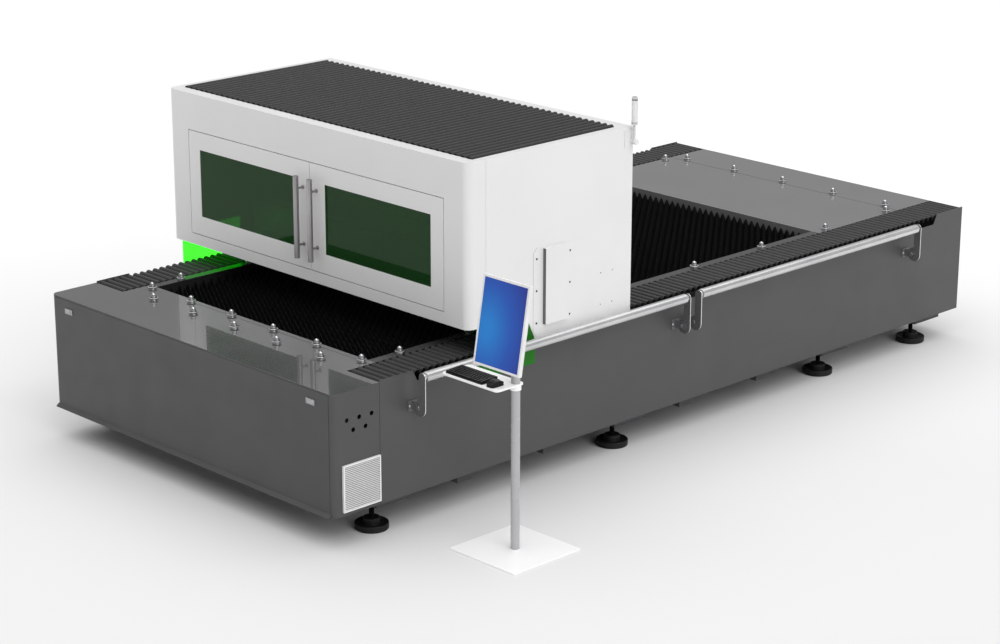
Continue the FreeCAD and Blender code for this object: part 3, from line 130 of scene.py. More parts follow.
studio_floor()
room = bpy.data.worlds.new("studio_room")
room.use_nodes = True
room_nodes, room_links = room.node_tree.nodes, room.node_tree.links
room_glow = room_nodes["Background"]
room_glow.inputs["Color"].default_value = (1.0, 1.0, 1.0, 1)
room_glow.inputs["Strength"].default_value = ROOM_LIGHT
backdrop = room_nodes.new("ShaderNodeBackground")
backdrop.inputs["Color"].default_value = (1.0, 1.0, 1.0, 1)
seen_straight = room_nodes.new("ShaderNodeLightPath")
either = room_nodes.new("ShaderNodeMixShader")
room_links.new(seen_straight.outputs["Is Camera Ray"], either.inputs["Fac"])
room_links.new(room_glow.outputs["Background"], either.inputs[1])
room_links.new(backdrop.outputs["Background"], either.inputs[2])
room_links.new(either.outputs["Shader"], room_nodes["World Output"].inputs["Surface"])
bpy.context.scene.world = room
soft_light("overhead_light", (0.0, 0.0, 1.0), 100.0, OVERHEAD_LIGHT)
soft_light("right_light", (1.0, -0.15, 0.55), 50.0, RIGHT_LIGHT)

eye = bpy.data.cameras.new("camera")
eye.lens = CAMERA_LENS
eye.sensor_width = 36.0
eye.clip_end = 2000.0
camera = bpy.data.objects.new("camera", eye)
camera.location = CAMERA_PLACE
camera.rotation_euler = CAMERA_TURN
bpy.context.scene.collection.objects.link(camera)
bpy.context.scene.camera = camera

# ---- Welded frame ----
# Two long box beams, low cross beams and bearers of welded steel, primed matt dark grey. Its
# edges are ground, so each has a narrow round.
slot_of = {part["node"]: part["material_slot"] for part in frame["record"]["subparts"]}


def tone(red, green, blue):
    """A colour as read on a paint card, 0 to 255, in the shader's linear light."""
    return tuple((c / 255) ** 2.2 for c in (red, green, blue)) + (1.0,)


class Finish:
    """A surface being mixed: one shader, and the fine noises that vary it."""

    def __init__(self, name, **sockets):
        self.material = bpy.data.materials.new(name)
        self.material.use_nodes = True
        self.tree = self.material.node_tree
        self.shader = self.tree.nodes["Principled BSDF"]
        for socket, value in sockets.items():
            self.shader.inputs[socket.replace("_", " ")].default_value = value
        self.place = self.add("ShaderNodeTexCoord").outputs["Object"]

    def add(self, kind, **settings):
        node = self.tree.nodes.new(kind)
        for key, value in settings.items():
            setattr(node, key, value)
        return node

    def noise(self, scale, detail=2.0, stretch=(1, 1, 1)):
        mapping = self.add("ShaderNodeMapping")
        mapping.inputs["Scale"].default_value = stretch
        cloud = self.add("ShaderNodeTexNoise")
        cloud.inputs["Scale"].default_value = scale
        cloud.inputs["Detail"].default_value = detail
        self.tree.links.new(self.place, mapping.inputs["Vector"])
        self.tree.links.new(mapping.outputs["Vector"], cloud.inputs["Vector"])
        return cloud.outputs["Fac"]

    def colour(self, factor, *stops):
        """Base colour from a factor; each stop is (place along the factor, colour)."""
        ramp = self.add("ShaderNodeValToRGB")
        while len(ramp.color_ramp.elements) < len(stops):
            ramp.color_ramp.elements.new(0.5)
        for element, (at, shade) in zip(ramp.color_ramp.elements, stops):
            element.position = at
            element.color = shade
        self.tree.links.new(factor, ramp.inputs["Fac"])
        self.tree.links.new(ramp.outputs["Color"], self.shader.inputs["Base Color"])
        return ramp

    def rough(self, factor, low, high):
        spread = self.add("ShaderNodeMapRange")
        spread.inputs["From Min"].default_value = 0.3
        spread.inputs["From Max"].default_value = 0.7
        spread.inputs["To Min"].default_value = low
        spread.inputs["To Max"].default_value = high
        self.tree.links.new(factor, spread.inputs["Value"])
        self.tree.links.new(spread.outputs["Result"], self.shader.inputs["Roughness"])

    def bump(self, height, depth, strength=1.0):
        relief = self.add("ShaderNodeBump")
        relief.inputs["Distance"].default_value = depth
        relief.inputs["Strength"].default_value = strength
        self.tree.links.new(height, relief.inputs["Height"])
        self.tree.links.new(relief.outputs["Normal"], self.shader.inputs["Normal"])


def powder_coat(name, shade, low=0.30, high=0.40, mottle=0.05, peel=0.00010, **sockets):
    """Baked powder paint: an even colour with a faint cloudiness and a fine orange-peel skin."""
    paint = Finish(name, **sockets)
    darker = tuple(c * (1 - mottle) for c in shade[:3]) + (1.0,)
    lighter = tuple(c * (1 + mottle) for c in shade[:3]) + (1.0,)
    paint.colour(paint.noise(2.3, 4.0), (0.35, darker), (0.65, lighter))
    paint.rough(paint.noise(6.0, 3.0), low, high)
    if peel > 0:
        paint.bump(paint.noise(420.0, 1.0), peel)
    return paint.material


def seat(piece, *nodes):
    """The piece takes the place of these nodes, on their body."""
    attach(piece, frame["nodes"][nodes[0]]["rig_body"])
    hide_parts(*nodes)
    return piece


def settled(name, mesh, sharp=24.0):
    """An object whose flats shade flat, whose rounds shade round, and whose corners stay crisp."""
    for polygon in mesh.polygons:
        polygon.use_smooth = True
    mesh.set_sharp_from_angle(angle=math.radians(sharp))
    piece = bpy.data.objects.new(name, mesh)
    bpy.context.scene.collection.objects.link(piece)
    flats = piece.modifiers.new("flats", "WEIGHTED_NORMAL")
    flats.keep_sharp = True
    seen = piece.evaluated_get(bpy.context.evaluated_depsgraph_get())
    piece.data = bpy.data.meshes.new_from_object(seen)
    piece.modifiers.clear()
    return piece


def eased(node, finish, radius, segments=2):
    """The node's own shape with every fold and cut edge rounded by a small radius."""
    bm = bmesh.new()
    bm.from_mesh(frame["nodes"][node].data)
    bmesh.ops.remove_doubles(bm, verts=bm.verts, dist=1e-5)
    bmesh.ops.dissolve_limit(bm, angle_limit=math.radians(1.0), verts=bm.verts, edges=bm.edges)
    corners = [e for e in bm.edges if len(e.link_faces) == 2 and e.calc_face_angle() > math.radians(30)]
    bmesh.ops.bevel(bm, geom=corners, offset=radius, offset_type="OFFSET", segments=segments,
                    profile=0.5, affect="EDGES", clamp_overlap=True)
    mesh = bpy.data.meshes.new(node + "_eased")
    bm.to_mesh(mesh)
    bm.free()
    mesh.materials.clear()
    mesh.materials.append(finish)
    return seat(settled(node + "_eased", mesh), node)


frame_primer = powder_coat("frame_primer", tone(62, 62, 64), 0.55, 0.68, 0.10, 0.00018)
eased("bed_frame", frame_primer, 0.0025)

# ---- Levelling feet ----
# Moulded rubber dishes with a grooved wall and a round hub, a threaded stud in each and a lock
# nut under the frame. Stud and nut are black oxide steel, with a rolled thread of 3 mm pitch.
THREAD_PITCH = 0.003
THREAD_DEPTH = 0.0016
THREAD_SIDES = 20


def solids_of(node):
    """Lowest and highest corner of every separate solid in a node."""
    bm = bmesh.new()
    bm.from_mesh(frame["nodes"][node].data)
    bmesh.ops.remove_doubles(bm, verts=bm.verts, dist=1e-5)
    seen, found = set(), []
    for start in bm.verts:
        if start.index in seen:
            continue
        seen.add(start.index)
        stack, island = [start], []
        while stack:
            vert = stack.pop()
            island.append(vert.co.copy())
            for edge in vert.link_edges:
                other = edge.other_vert(vert)
                if other.index not in seen:
                    seen.add(other.index)
                    stack.append(other)
        low = Vector([min(p[i] for p in island) for i in range(3)])
        high = Vector([max(p[i] for p in island) for i in range(3)])
        found.append((low, high))
    bm.free()
    return found


def shell(name, verts, faces, finish):
    """A mesh in one finish, with every face turned outwards."""
    mesh = bpy.data.meshes.new(name)
    mesh.from_pydata(verts, [], faces)
    bm = bmesh.new()
    bm.from_mesh(mesh)
    bmesh.ops.recalc_face_normals(bm, faces=bm.faces)
    bm.to_mesh(mesh)
    bm.free()
    mesh.materials.append(finish)
    return mesh


def mixed(name, darker, lighter, cloud, grain, gloss, **sockets):
    """A finish whose tone drifts with a cloud, and whose roughness drifts with a finer grain."""
    finish = Finish(name, **sockets)
    finish.colour(finish.noise(*cloud), (0.3, darker), (0.7, lighter))
    finish.rough(finish.noise(*grain), *gloss)
    return finish


def made(name, verts, faces, finish, *nodes, sharp=24.0):
    """A new mesh that takes the place of CAD nodes."""
    return seat(settled(name, shell(name, verts, faces, finish), sharp), *nodes)


def turned(profile, places, sides=48):
    """Vertices and faces of a lathe shape, (radius, height) points, set at each placement."""
    verts, faces = [], []
    for place in places:
        rings = []
        for r, h in profile:
            if r < 1e-7:
                rings.append([len(verts)])
                verts.append(place @ Vector((0, 0, h)))
                continue
            ring = []
            for k in range(sides):
                turn = 2 * math.pi * k / sides
                ring.append(len(verts))
                verts.append(place @ Vector((r * math.cos(turn), r * math.sin(turn), h)))
            rings.append(ring)
        for a, b in zip(rings, rings[1:]):
            for k in range(sides):
                n = (k + 1) % sides
                if len(a) == 1 and len(b) == 1:
                    continue
                if len(a) == 1:
                    faces.append((a[0], b[k], b[n]))
                elif len(b) == 1:
                    faces.append((a[k], a[n], b[0]))
                else:
                    faces.append((a[k], a[n], b[n], b[k]))
    return verts, faces


def thread(places, radius, length):
    """A threaded rod on each vertical placement: a crest and a root that climb side by side."""
    verts, faces = [], []
    count = int(length / THREAD_PITCH) * THREAD_SIDES
    for place in places:
        first = len(verts)
        for n in range(count + THREAD_SIDES + 1):
            turn = 2 * math.pi * n / THREAD_SIDES
            height = THREAD_PITCH * (n / THREAD_SIDES - 0.5)
            for r, lift in ((radius - THREAD_DEPTH, 0.0), (radius, THREAD_PITCH / 2)):
                z = min(max(height + lift, 0.0), length)
                verts.append(place @ Vector((r * math.cos(turn), r * math.sin(turn), z)))
        for n in range(count + THREAD_SIDES):
            a = first + 2 * n
            faces.append((a, a + 2, a + 3, a + 1))
            if n < count:
                up = a + 2 * THREAD_SIDES
                faces.append((a + 1, a + 3, up + 2, up))
    return verts, faces


pads = [Matrix.Translation(((low + high) / 2).xy.to_3d()) for low, high in solids_of("foot_pads")]
pad_foot = [(0.0, 0.0), (0.0960, 0.0), (0.1000, 0.0012), (0.1022, 0.0040), (0.1030, 0.0080),
            (0.1030, 0.0150)]
pad_groove = [(0.1015, 0.0165), (0.1015, 0.0200), (0.1030, 0.0215)]
pad_rim = [(0.1030, 0.0340), (0.1022, 0.0380), (0.1000, 0.0400), (0.0970, 0.0400), (0.0945, 0.0385)]
pad_dish = [(0.0900, 0.0360), (0.0620, 0.0325), (0.0560, 0.0335), (0.0525, 0.0365)]
pad_hub = [(0.0520, 0.0400), (0.0520, 0.0660), (0.0510, 0.0695), (0.0480, 0.0716), (0.0440, 0.0720),
           (0.0290, 0.0720), (0.0260, 0.0705), (0.0200, 0.0700), (0.0170, 0.0690)]
pad_socket = [(0.0165, 0.0660), (0.0165, 0.0300), (0.0, 0.0300)]
pad_profile = pad_foot + pad_groove + pad_rim + pad_dish + pad_hub + pad_socket
pad_rubber = Finish("pad_rubber", Specular_IOR_Level=0.35)
pad_rubber.colour(pad_rubber.noise(30.0, 4.0), (0.35, tone(16, 16, 16)), (0.7, tone(30, 30, 30)))
pad_rubber.rough(pad_rubber.noise(60.0), 0.45, 0.62)
pad_rubber.bump(pad_rubber.noise(900.0, 1.0), 0.00015)
made("foot_pads_moulded", *turned(pad_profile, pads, 64), pad_rubber.material, "foot_pads")

stud_black = mixed("stud_black", tone(22, 22, 23), tone(44, 44, 46),
                   (90.0, 3.0), (150.0,), (0.3, 0.48), Metallic=0.8)
stud_low, stud_high = solids_of("foot_studs")[0]
studs = [place @ Matrix.Translation((0, 0, stud_low.z)) for place in pads]
made("foot_studs_threaded", *thread(studs, (stud_high.x - stud_low.x) / 2, stud_high.z - stud_low.z),
     stud_black.material, "foot_studs")
eased("foot_nuts", stud_black.material, 0.0016)

# ---- Side panels and rear end panel ----
# Folded 4 mm sheet, powder coated semi-gloss dark grey. The top edge of each side is cut down
# between its raised ends, where sheets are slid on.
panel_grey = powder_coat("panel_grey", tone(74, 74, 75), 0.40, 0.50, 0.03, 0.0)
for panel in ("side_panel_left", "side_panel_right", "rear_end_panel"):
    eased(panel, panel_grey, 0.0012)

# ---- Front housing ----
# A box of bent and welded sheet with rounded front corners, in semi-gloss dark grey. Its top is
# the front deck, painted a glossier mid grey.
TOP_SKIN = 0.002
REAR_SKIN = 0.004
deck_grey = powder_coat("deck_grey", tone(86, 86, 87), 0.16, 0.22, 0.03, 0.0, Coat_Weight=1.0,
                        Coat_Roughness=0.02, Coat_IOR=1.75)
side_grey = powder_coat("housing_grey", tone(74, 74, 75), 0.40, 0.50, 0.03, 0.0)


def second_coat(piece, finish, chooses):
    """Faces that the test chooses, by centre and normal, are painted in another finish."""
    piece.data.materials.append(finish)
    last = len(piece.data.materials) - 1
    for polygon in piece.data.polygons:
        if chooses(polygon.center, polygon.normal):
            polygon.material_index = last


housing = eased("front_housing", side_grey, 0.0015)
deck_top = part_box("front_housing")[1].z
second_coat(housing, deck_grey,
            lambda centre, normal: normal.z > 0.9 and centre.z > deck_top - TOP_SKIN)
pit_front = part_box("front_housing")[1].y

# ---- Front cover panel and its catches ----
# A flat sheet over the housing's access opening, with a flared lip along its foot, satin dark
# grey. Two zinc catches with a finger notch are riveted near its top corners.
cover_grey = powder_coat("cover_grey", tone(67, 67, 68), 0.38, 0.48, 0.03, 0.00003)
eased("front_cover_panel", cover_grey, 0.0011)
catch_zinc = mixed("catch_zinc", tone(150, 150, 152), tone(186, 186, 188),
                   (90.0, 3.0), (120.0,), (0.35, 0.5), Metallic=0.7)
eased("cover_tabs", catch_zinc.material, 0.0010)

# ---- Vent grille ----
# A white frame and its stack of sloping louvres, moulded as one piece and set over the fan
# opening in the front housing.
grille_white = mixed("grille_white", tone(232, 232, 232), tone(243, 243, 243),
                     (14.0, 3.0), (40.0,), (0.38, 0.5))
grille_white.bump(grille_white.noise(1100.0, 1.0), 0.00006)
grille = eased("vent_grille", grille_white.material, 0.0006)
grille_low, grille_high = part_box("vent_grille")
LOUVRES = 24
GRILLE_RIM = 0.009
LOUVRE_MARGIN = 0.008
# Each louvre's faces are white with grey bands at its foot and top: painted shade between the louvres.
louvre_white_painted_shade = Finish("louvre_white_painted_shade")
louvre_height = louvre_white_painted_shade.add("ShaderNodeSeparateXYZ")
louvre_white_painted_shade.tree.links.new(louvre_white_painted_shade.place, louvre_height.inputs["Vector"])
louvre_step = louvre_white_painted_shade.add("ShaderNodeMapRange", clamp=False)
louvre_step.inputs["From Min"].default_value = grille_low.z + GRILLE_RIM
louvre_step.inputs["From Max"].default_value = grille_high.z - GRILLE_RIM
louvre_step.inputs["To Max"].default_value = LOUVRES
louvre_white_painted_shade.tree.links.new(louvre_height.outputs["Z"], louvre_step.inputs["Value"])
up_louvre = louvre_white_painted_shade.add("ShaderNodeMath", operation="FRACT")
louvre_white_painted_shade.tree.links.new(louvre_step.outputs["Result"], up_louvre.inputs[0])
louvre_white_painted_shade.colour(up_louvre.outputs["Value"], (0.0, tone(150, 150, 151)), (0.10, tone(236, 236, 236)),
                    (0.48, tone(232, 232, 232)), (0.60, tone(120, 120, 121)))
louvre_white_painted_shade.rough(louvre_white_painted_shade.noise(60.0), 0.4, 0.5)
second_coat(grille, louvre_white_painted_shade.material, lambda centre, normal: centre.x < grille_high.x - 0.0005
            and grille_low.y + LOUVRE_MARGIN < centre.y < grille_high.y - LOUVRE_MARGIN
            and grille_low.z + LOUVRE_MARGIN < centre.z < grille_high.z - LOUVRE_MARGIN)

# ---- Laser source ----
# The cabinet that holds the fibre laser: folded steel sheet in a textured blue-grey paint,
# standing on two runners inside the front housing.
source_paint = powder_coat("source_paint", tone(88, 94, 106), 0.45, 0.6, 0.08, 0.00025)
eased("laser_source", source_paint, 0.0015)

# ---- Decks and ledges round the pit ----
# Bent 3 mm sheet in the front deck's paint, made a shade lighter here as painted light, with an open
# seam between the rear two. The ledges along the pit are a shade darker.
rear_deck_grey_painted_light = powder_coat("rear_deck_grey_painted_light", tone(112, 112, 113), 0.18, 0.24, 0.03, 0.0,
                             Coat_Weight=1.0, Coat_Roughness=0.03, Coat_IOR=1.75)
seam_shade = powder_coat("seam_shade", tone(40, 40, 41), 0.5, 0.6, 0.05, 0.0)
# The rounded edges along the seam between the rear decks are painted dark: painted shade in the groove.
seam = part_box("rear_inner_deck")[1].y
SEAM_REACH = 0.005
for node in ("rear_inner_deck", "rear_deck"):
    deck = eased(node, rear_deck_grey_painted_light, 0.0028)
    second_coat(deck, seam_shade, lambda centre, normal: abs(centre.y - seam) < SEAM_REACH
                and normal.z < 0.999)
ledge_grey = powder_coat("ledge_grey", tone(70, 70, 71), 0.2, 0.28, 0.04, 0.00004)
ledges = eased("pit_ledges", ledge_grey, 0.0011)

# ---- Scrap floor, slat rack and cutting slats ----
# A folded trough and a comb rack in matt black, dulled by fume. The slats are laser-cut plates of
# hot-rolled steel in blue-black scale, lighter towards the tips of their teeth as a painted highlight.
DECK_EDGE = 0.003
TIP_HIGHLIGHT_REACH = 0.022
soot_and_pit_shade = powder_coat("fume_black_and_pit_shade", tone(16, 16, 17), 0.6, 0.8, 0.25, 0.0003)
for node in ("scrap_floor", "slat_rack"):
    eased(node, soot_and_pit_shade, 0.0010)
# The inner walls of the ledges and housing facing the pit get the same black, as painted shade in the
# pit.
second_coat(ledges, soot_and_pit_shade, lambda centre, normal: centre.z < deck_top - DECK_EDGE)
second_coat(housing, soot_and_pit_shade, lambda centre, normal: centre.y > pit_front - REAR_SKIN
            and centre.z < deck_top - DECK_EDGE)

slat_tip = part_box("cutting_slats")[1].z
mill_scale = Finish("mill_scale", Metallic=0.35)
height_up = mill_scale.add("ShaderNodeSeparateXYZ")
mill_scale.tree.links.new(mill_scale.place, height_up.inputs["Vector"])
to_tip = mill_scale.add("ShaderNodeMapRange")
to_tip.inputs["From Min"].default_value = slat_tip - TIP_HIGHLIGHT_REACH
to_tip.inputs["From Max"].default_value = slat_tip
mill_scale.tree.links.new(height_up.outputs["Z"], to_tip.inputs["Value"])
# The teeth are painted lighter towards their tips, broken up by noise: a painted highlight.
tip_highlight = mill_scale.add("ShaderNodeMath", operation="MULTIPLY")
mill_scale.tree.links.new(to_tip.outputs["Result"], tip_highlight.inputs[0])
mill_scale.tree.links.new(mill_scale.noise(160.0, 3.0), tip_highlight.inputs[1])
mill_scale.colour(tip_highlight.outputs["Value"], (0.0, tone(9, 9, 10)), (0.6, tone(27, 27, 29)))
mill_scale.rough(mill_scale.noise(50.0, 3.0), 0.42, 0.66)
mill_scale.bump(mill_scale.noise(260.0, 3.0), 0.0003)


def recoat(node, finish):
    """A node whose shape is final keeps its mesh and gets a finish."""
    for held in frame["nodes"][node].material_slots:
        held.material = finish


recoat("cutting_slats", mill_scale.material)

# ---- Guide rails and magnet tracks ----
# Ground steel rails along the tops of the long beams, which guide the carriages. Beside each is
# the track of the linear motor's magnets, under a stainless strip.
ground_steel = mixed("ground_steel", tone(170, 171, 174), tone(192, 193, 196),
                     (9.0, 3.0), (30.0, 3.0, (8, 0.3, 8)), (0.18, 0.34), Metallic=1.0)
ground_steel.bump(ground_steel.noise(700.0, 1.0, (1, 0.02, 1)), 0.00005)
for node in ("guide_rails", "magnet_tracks"):
    eased(node, ground_steel.material, 0.0008)

# ---- Bellows over the guideways ----
# Coated black cloth over stiff pleats, pulled out and pushed together as the cabin travels. The
# pleats share the movement evenly, from the fixed end to the end on the carriage.
PLEAT_STEPS = ((0.0, 0.0), (0.045, 0.05), (0.10, 0.42), (0.20, 0.74), (0.33, 0.94), (0.44, 0.995),
               (0.50, 1.0), (0.56, 0.995), (0.67, 0.94), (0.80, 0.74), (0.90, 0.42), (0.955, 0.05))
BELLOWS_SKIN = 0.0022
PLEAT_PITCH = 0.0538


def pleated_cloth(name, low, high, valley, crest):
    """Coated cloth, painted lighter on its crests and darker in its valleys as painted light and shade,
    with faint random scuffs.
    """
    cloth = Finish(name, Sheen_Weight=0.1)
    height = cloth.add("ShaderNodeSeparateXYZ")
    cloth.tree.links.new(cloth.place, height.inputs["Vector"])
    rise = cloth.add("ShaderNodeMapRange")
    rise.inputs["From Min"].default_value = low
    rise.inputs["From Max"].default_value = high
    cloth.tree.links.new(height.outputs["Z"], rise.inputs["Value"])
    # Lighter with height: painted light on the crests and painted shade in the valleys, plus random
    # scuffs.
    scuffs_and_pleat_shading = cloth.add("ShaderNodeMath", operation="MULTIPLY_ADD")
    scuffs_and_pleat_shading.inputs[1].default_value = 0.25
    cloth.tree.links.new(cloth.noise(14.0, 4.0), scuffs_and_pleat_shading.inputs[0])
    cloth.tree.links.new(rise.outputs["Result"], scuffs_and_pleat_shading.inputs[2])
    cloth.colour(scuffs_and_pleat_shading.outputs["Value"], (0.25, tone(valley, valley, valley)),
                 (0.80, tone(crest, crest, crest + 1)),
                 (1.15, tone(crest + 10, crest + 10, crest + 11)))
    cloth.rough(cloth.noise(45.0, 3.0), 0.40, 0.56)
    cloth.bump(cloth.noise(1600.0, 1.0), 0.00010)
    return cloth.material


def pleat_line(start, pitch, count, low, high):
    """Upper line of a run of pleats: flat flanks with a small round at each fold."""
    line = []
    for i in range(count):
        line += [(start + (i + along) * pitch, low + up * (high - low)) for along, up in PLEAT_STEPS]
    return line + [(start + count * pitch, low)]


def strip(line, skin, first, last, along_x):
    """A pleated sheet of one thickness between two places across it."""
    outline = line + [(a, h - skin) for a, h in reversed(line)]
    total = len(outline)
    verts = [(c, a, h) if along_x else (a, c, h) for c in (first, last) for a, h in outline]
    faces = [(i, (i + 1) % total, total + (i + 1) % total, total + i) for i in range(total)]
    half = total // 2
    for base in (0, total):
        for i in range(half - 1):
            faces.append((base + i, base + i + 1, base + total - 2 - i, base + total - 1 - i))
    return verts, faces


def bellows(node, name):
    """Pleats on each side of the bed, which stretch between the bed and the cabin."""
    low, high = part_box(node)
    count = round((high.y - low.y) / PLEAT_PITCH)
    verts, faces = [], []
    for side_low, side_high in solids_of(node):
        line = pleat_line(low.y, (high.y - low.y) / count, count, low.z + BELLOWS_SKIN, high.z)
        v, f = strip(line, BELLOWS_SKIN, side_low.x, side_high.x, True)
        faces += [tuple(i + len(verts) for i in face) for face in f]
        verts += v
    piece = settled(name, shell(name, verts, faces, bellows_cloth))
    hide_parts(node)
    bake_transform(piece)


front_low, front_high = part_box("front_bellows")
bellows_cloth = pleated_cloth("bellows_cloth", front_low.z, front_high.z, 5, 29)
bellows("front_bellows", "front_bellows_pleated")
bellows("rear_bellows", "rear_bellows_pleated")

# ---- Ball transfer units ----
# A pressed cup on a foot ring, with a wide brim and a conical body, and a polished ball that
# stands out of its rolled rim. Sheets are pushed over them by hand.
BRIM_INSET = 0.004
NECK_BAND = (0.0053, 0.0107)
CONE_FOOT_BAND = (0.0156, 0.0184)
CONE_BAND = (0.0184, 0.0355)
units = [Matrix.Translation(((low + high) / 2).xy.to_3d() + Vector((0, 0, low.z)))
         for low, high in solids_of("ball_cups")]
cup_low, cup_high = solids_of("ball_cups")[0]
brim_radius = (cup_high.x - cup_low.x) / 2 - BRIM_INSET
foot_ring = [(0.0, 0.0), (0.0232, 0.0), (0.0242, 0.0008), (0.0244, 0.0020), (0.0244, 0.0042),
             (0.0236, 0.0052)]
neck = [(0.0200, 0.0058), (0.0196, 0.0070), (0.0196, 0.0104)]
brim = [(brim_radius - 0.0022, 0.0112), (brim_radius - 0.0005, 0.0118), (brim_radius, 0.0129),
        (brim_radius - 0.0005, 0.0140), (brim_radius - 0.0018, 0.0146), (0.0236, 0.0154)]
cone = [(0.0194, 0.0160), (0.0188, 0.0170), (0.0182, 0.0186), (0.0168, 0.0226), (0.0156, 0.0290),
        (0.0150, 0.0345), (0.0144, 0.0359), (0.0128, 0.0359), (0.0122, 0.0352), (0.0, 0.0300)]
cup_profile = foot_ring + neck + brim + cone
cup_steel = mixed("cup_steel", tone(206, 207, 209), tone(232, 232, 234),
                  (120.0, 3.0), (200.0,), (0.30, 0.42), Metallic=1.0)
cups = made("ball_cups_pressed", *turned(cup_profile, units, 40), cup_steel.material, "ball_cups")
neck_shade_paint = mixed("cup_neck_painted_shade", tone(58, 58, 60), tone(78, 78, 80),
                  (120.0, 3.0), (200.0,), (0.35, 0.5), Metallic=0.6)
cone_shading_paint = mixed("cup_cone_painted_shading", tone(148, 148, 150), tone(172, 172, 174),
                  (120.0, 3.0), (200.0,), (0.28, 0.4), Metallic=0.7)
cup_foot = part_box("ball_cups")[0].z


def in_band(centre, band):
    return band[0] < centre.z - cup_foot < band[1]


# The cup is one pressed steel; its neck and the cone's foot are painted dark and its cone mid grey, as
# painted shade.
second_coat(cups, neck_shade_paint.material,
            lambda centre, normal: in_band(centre, NECK_BAND) or in_band(centre, CONE_FOOT_BAND))
second_coat(cups, cone_shading_paint.material, lambda centre, normal: in_band(centre, CONE_BAND))
ball_low, ball_high = solids_of("transfer_balls")[0]
ball_radius = (ball_high.x - ball_low.x) / 2
ball_height = (ball_low.z + ball_high.z) / 2 - cup_foot
BALL_STEPS = 16
ball_profile = [(0.0, ball_height - ball_radius)]
for k in range(1, BALL_STEPS):
    turn = math.pi * k / BALL_STEPS - math.pi / 2
    ball_profile.append((ball_radius * math.cos(turn), ball_height + ball_radius * math.sin(turn)))
ball_profile.append((0.0, ball_height + ball_radius))
ball_chrome = mixed("ball_chrome", tone(206, 207, 210), tone(222, 223, 226),
                    (60.0,), (90.0,), (0.12, 0.2), Metallic=1.0)
made("transfer_balls_polished", *turned(ball_profile, units, 28), ball_chrome.material,
     "transfer_balls", sharp=60)

# ---- Loading rollers on the right side ----
# Two long white rollers on arms cut from plate, which fold down outwards about shouldered pins.
# The arms are painted like the panels, and their laser-cut rims carry a bright metal painted highlight.
rim_highlight_paint = mixed("cut_rim_painted_highlight", tone(226, 227, 229), tone(246, 246, 247),
                   (60.0, 3.0), (200.0, 2.0, (0.1, 1, 1)), (0.25, 0.4), Metallic=0.9)
arm_grey = powder_coat("arm_grey", tone(96, 96, 97), 0.3, 0.4, 0.04, 0.00003)
for node in ("front_roller_frame", "rear_roller_frame"):
    arms = eased(node, arm_grey, 0.0012)
    second_coat(arms, rim_highlight_paint.material, lambda centre, normal: abs(normal.y) < 0.5)
eased("roller_brackets", arm_grey, 0.0015)
zinc = mixed("zinc_plate", tone(176, 178, 182), tone(206, 207, 210),
             (70.0, 4.0), (160.0, 3.0), (0.22, 0.38), Metallic=1.0)
zinc.bump(zinc.noise(1500.0, 1.0), 0.00004)
eased("roller_pivot_pins", zinc.material, 0.0012)
LUG_SCREW_SPAN = 0.046
LUG_BASE = 0.006


def added(name, verts, faces, finish, body, slot, sharp=24.0):
    """A piece with no CAD node of its own, on a body. The slot argument is not used."""
    piece = settled(name, shell(name, verts, faces, finish), sharp)
    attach(piece, body)
    return piece


# Each bracket is held on the side panel by two zinc button screws. The hexagon socket of each is
# simplified to a round recess.
BUTTON_HEAD = [(0.0, 0.0), (0.0085, 0.0), (0.0085, 0.0012), (0.0078, 0.0028), (0.0062, 0.0042),
               (0.0046, 0.0048), (0.0036, 0.0048), (0.0034, 0.0044), (0.0034, 0.0018), (0.0, 0.0018)]
panel_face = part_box("side_panel_right")[1].x
screw_places = []
for low, high in solids_of("roller_brackets"):
    for along in (-LUG_SCREW_SPAN / 2, LUG_SCREW_SPAN / 2):
        at = Vector((panel_face + LUG_BASE, (low.y + high.y) / 2 + along, (low.z + high.z) / 2))
        screw_places.append(Matrix.Translation(at) @ Matrix.Rotation(math.radians(90), 4, "Y"))
added("bracket_screws", *turned(BUTTON_HEAD, screw_places, 24), zinc.material, "bed", "zinc_steel")

roller_white = Finish("roller_white", Metallic=0.55, Coat_Weight=0.6, Coat_Roughness=0.04)
roller_white.colour(roller_white.noise(3.0, 4.0), (0.35, tone(192, 193, 194)),
                    (0.65, tone(210, 210, 211)))
roller_white.rough(roller_white.noise(14.0, 3.0, (1, 0.2, 1)), 0.14, 0.24)
LAY_DOWN = Matrix.Rotation(math.radians(-90), 4, "X")
for node in ("front_roller", "rear_roller"):
    low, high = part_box(node)
    radius, length = (high.x - low.x) / 2, high.y - low.y
    end = [(0.0101, 0.0), (0.0190, 0.0), (0.0205, 0.0012), (0.0208, 0.0090), (0.0180, 0.0105),
           (0.0180, 0.0150), (0.0215, 0.0165), (radius - 0.004, 0.0180), (radius - 0.001, 0.0215),
           (radius, 0.0270)]
    profile = end + [(r, length - h) for r, h in reversed(end)] + [end[0]]
    place = Matrix.Translation(((low.x + high.x) / 2, low.y, (low.z + high.z) / 2)) @ LAY_DOWN
    made(node + "_tube", *turned(profile, [place], 56), roller_white.material, node)

# ---- Cabin shell ----
# White powder-coated sheet: a front casing with rounded corners, two side walls that slope down
# to a skirt, and a rear wall. Narrow open seams run between them.
cabin_white = powder_coat("cabin_white", tone(226, 226, 226), 0.28, 0.38, 0.012, 0.00003)
for node in ("cabin_front_shell", "cabin_side_left", "cabin_side_right", "cabin_rear_panel"):
    eased(node, cabin_white, 0.0018)

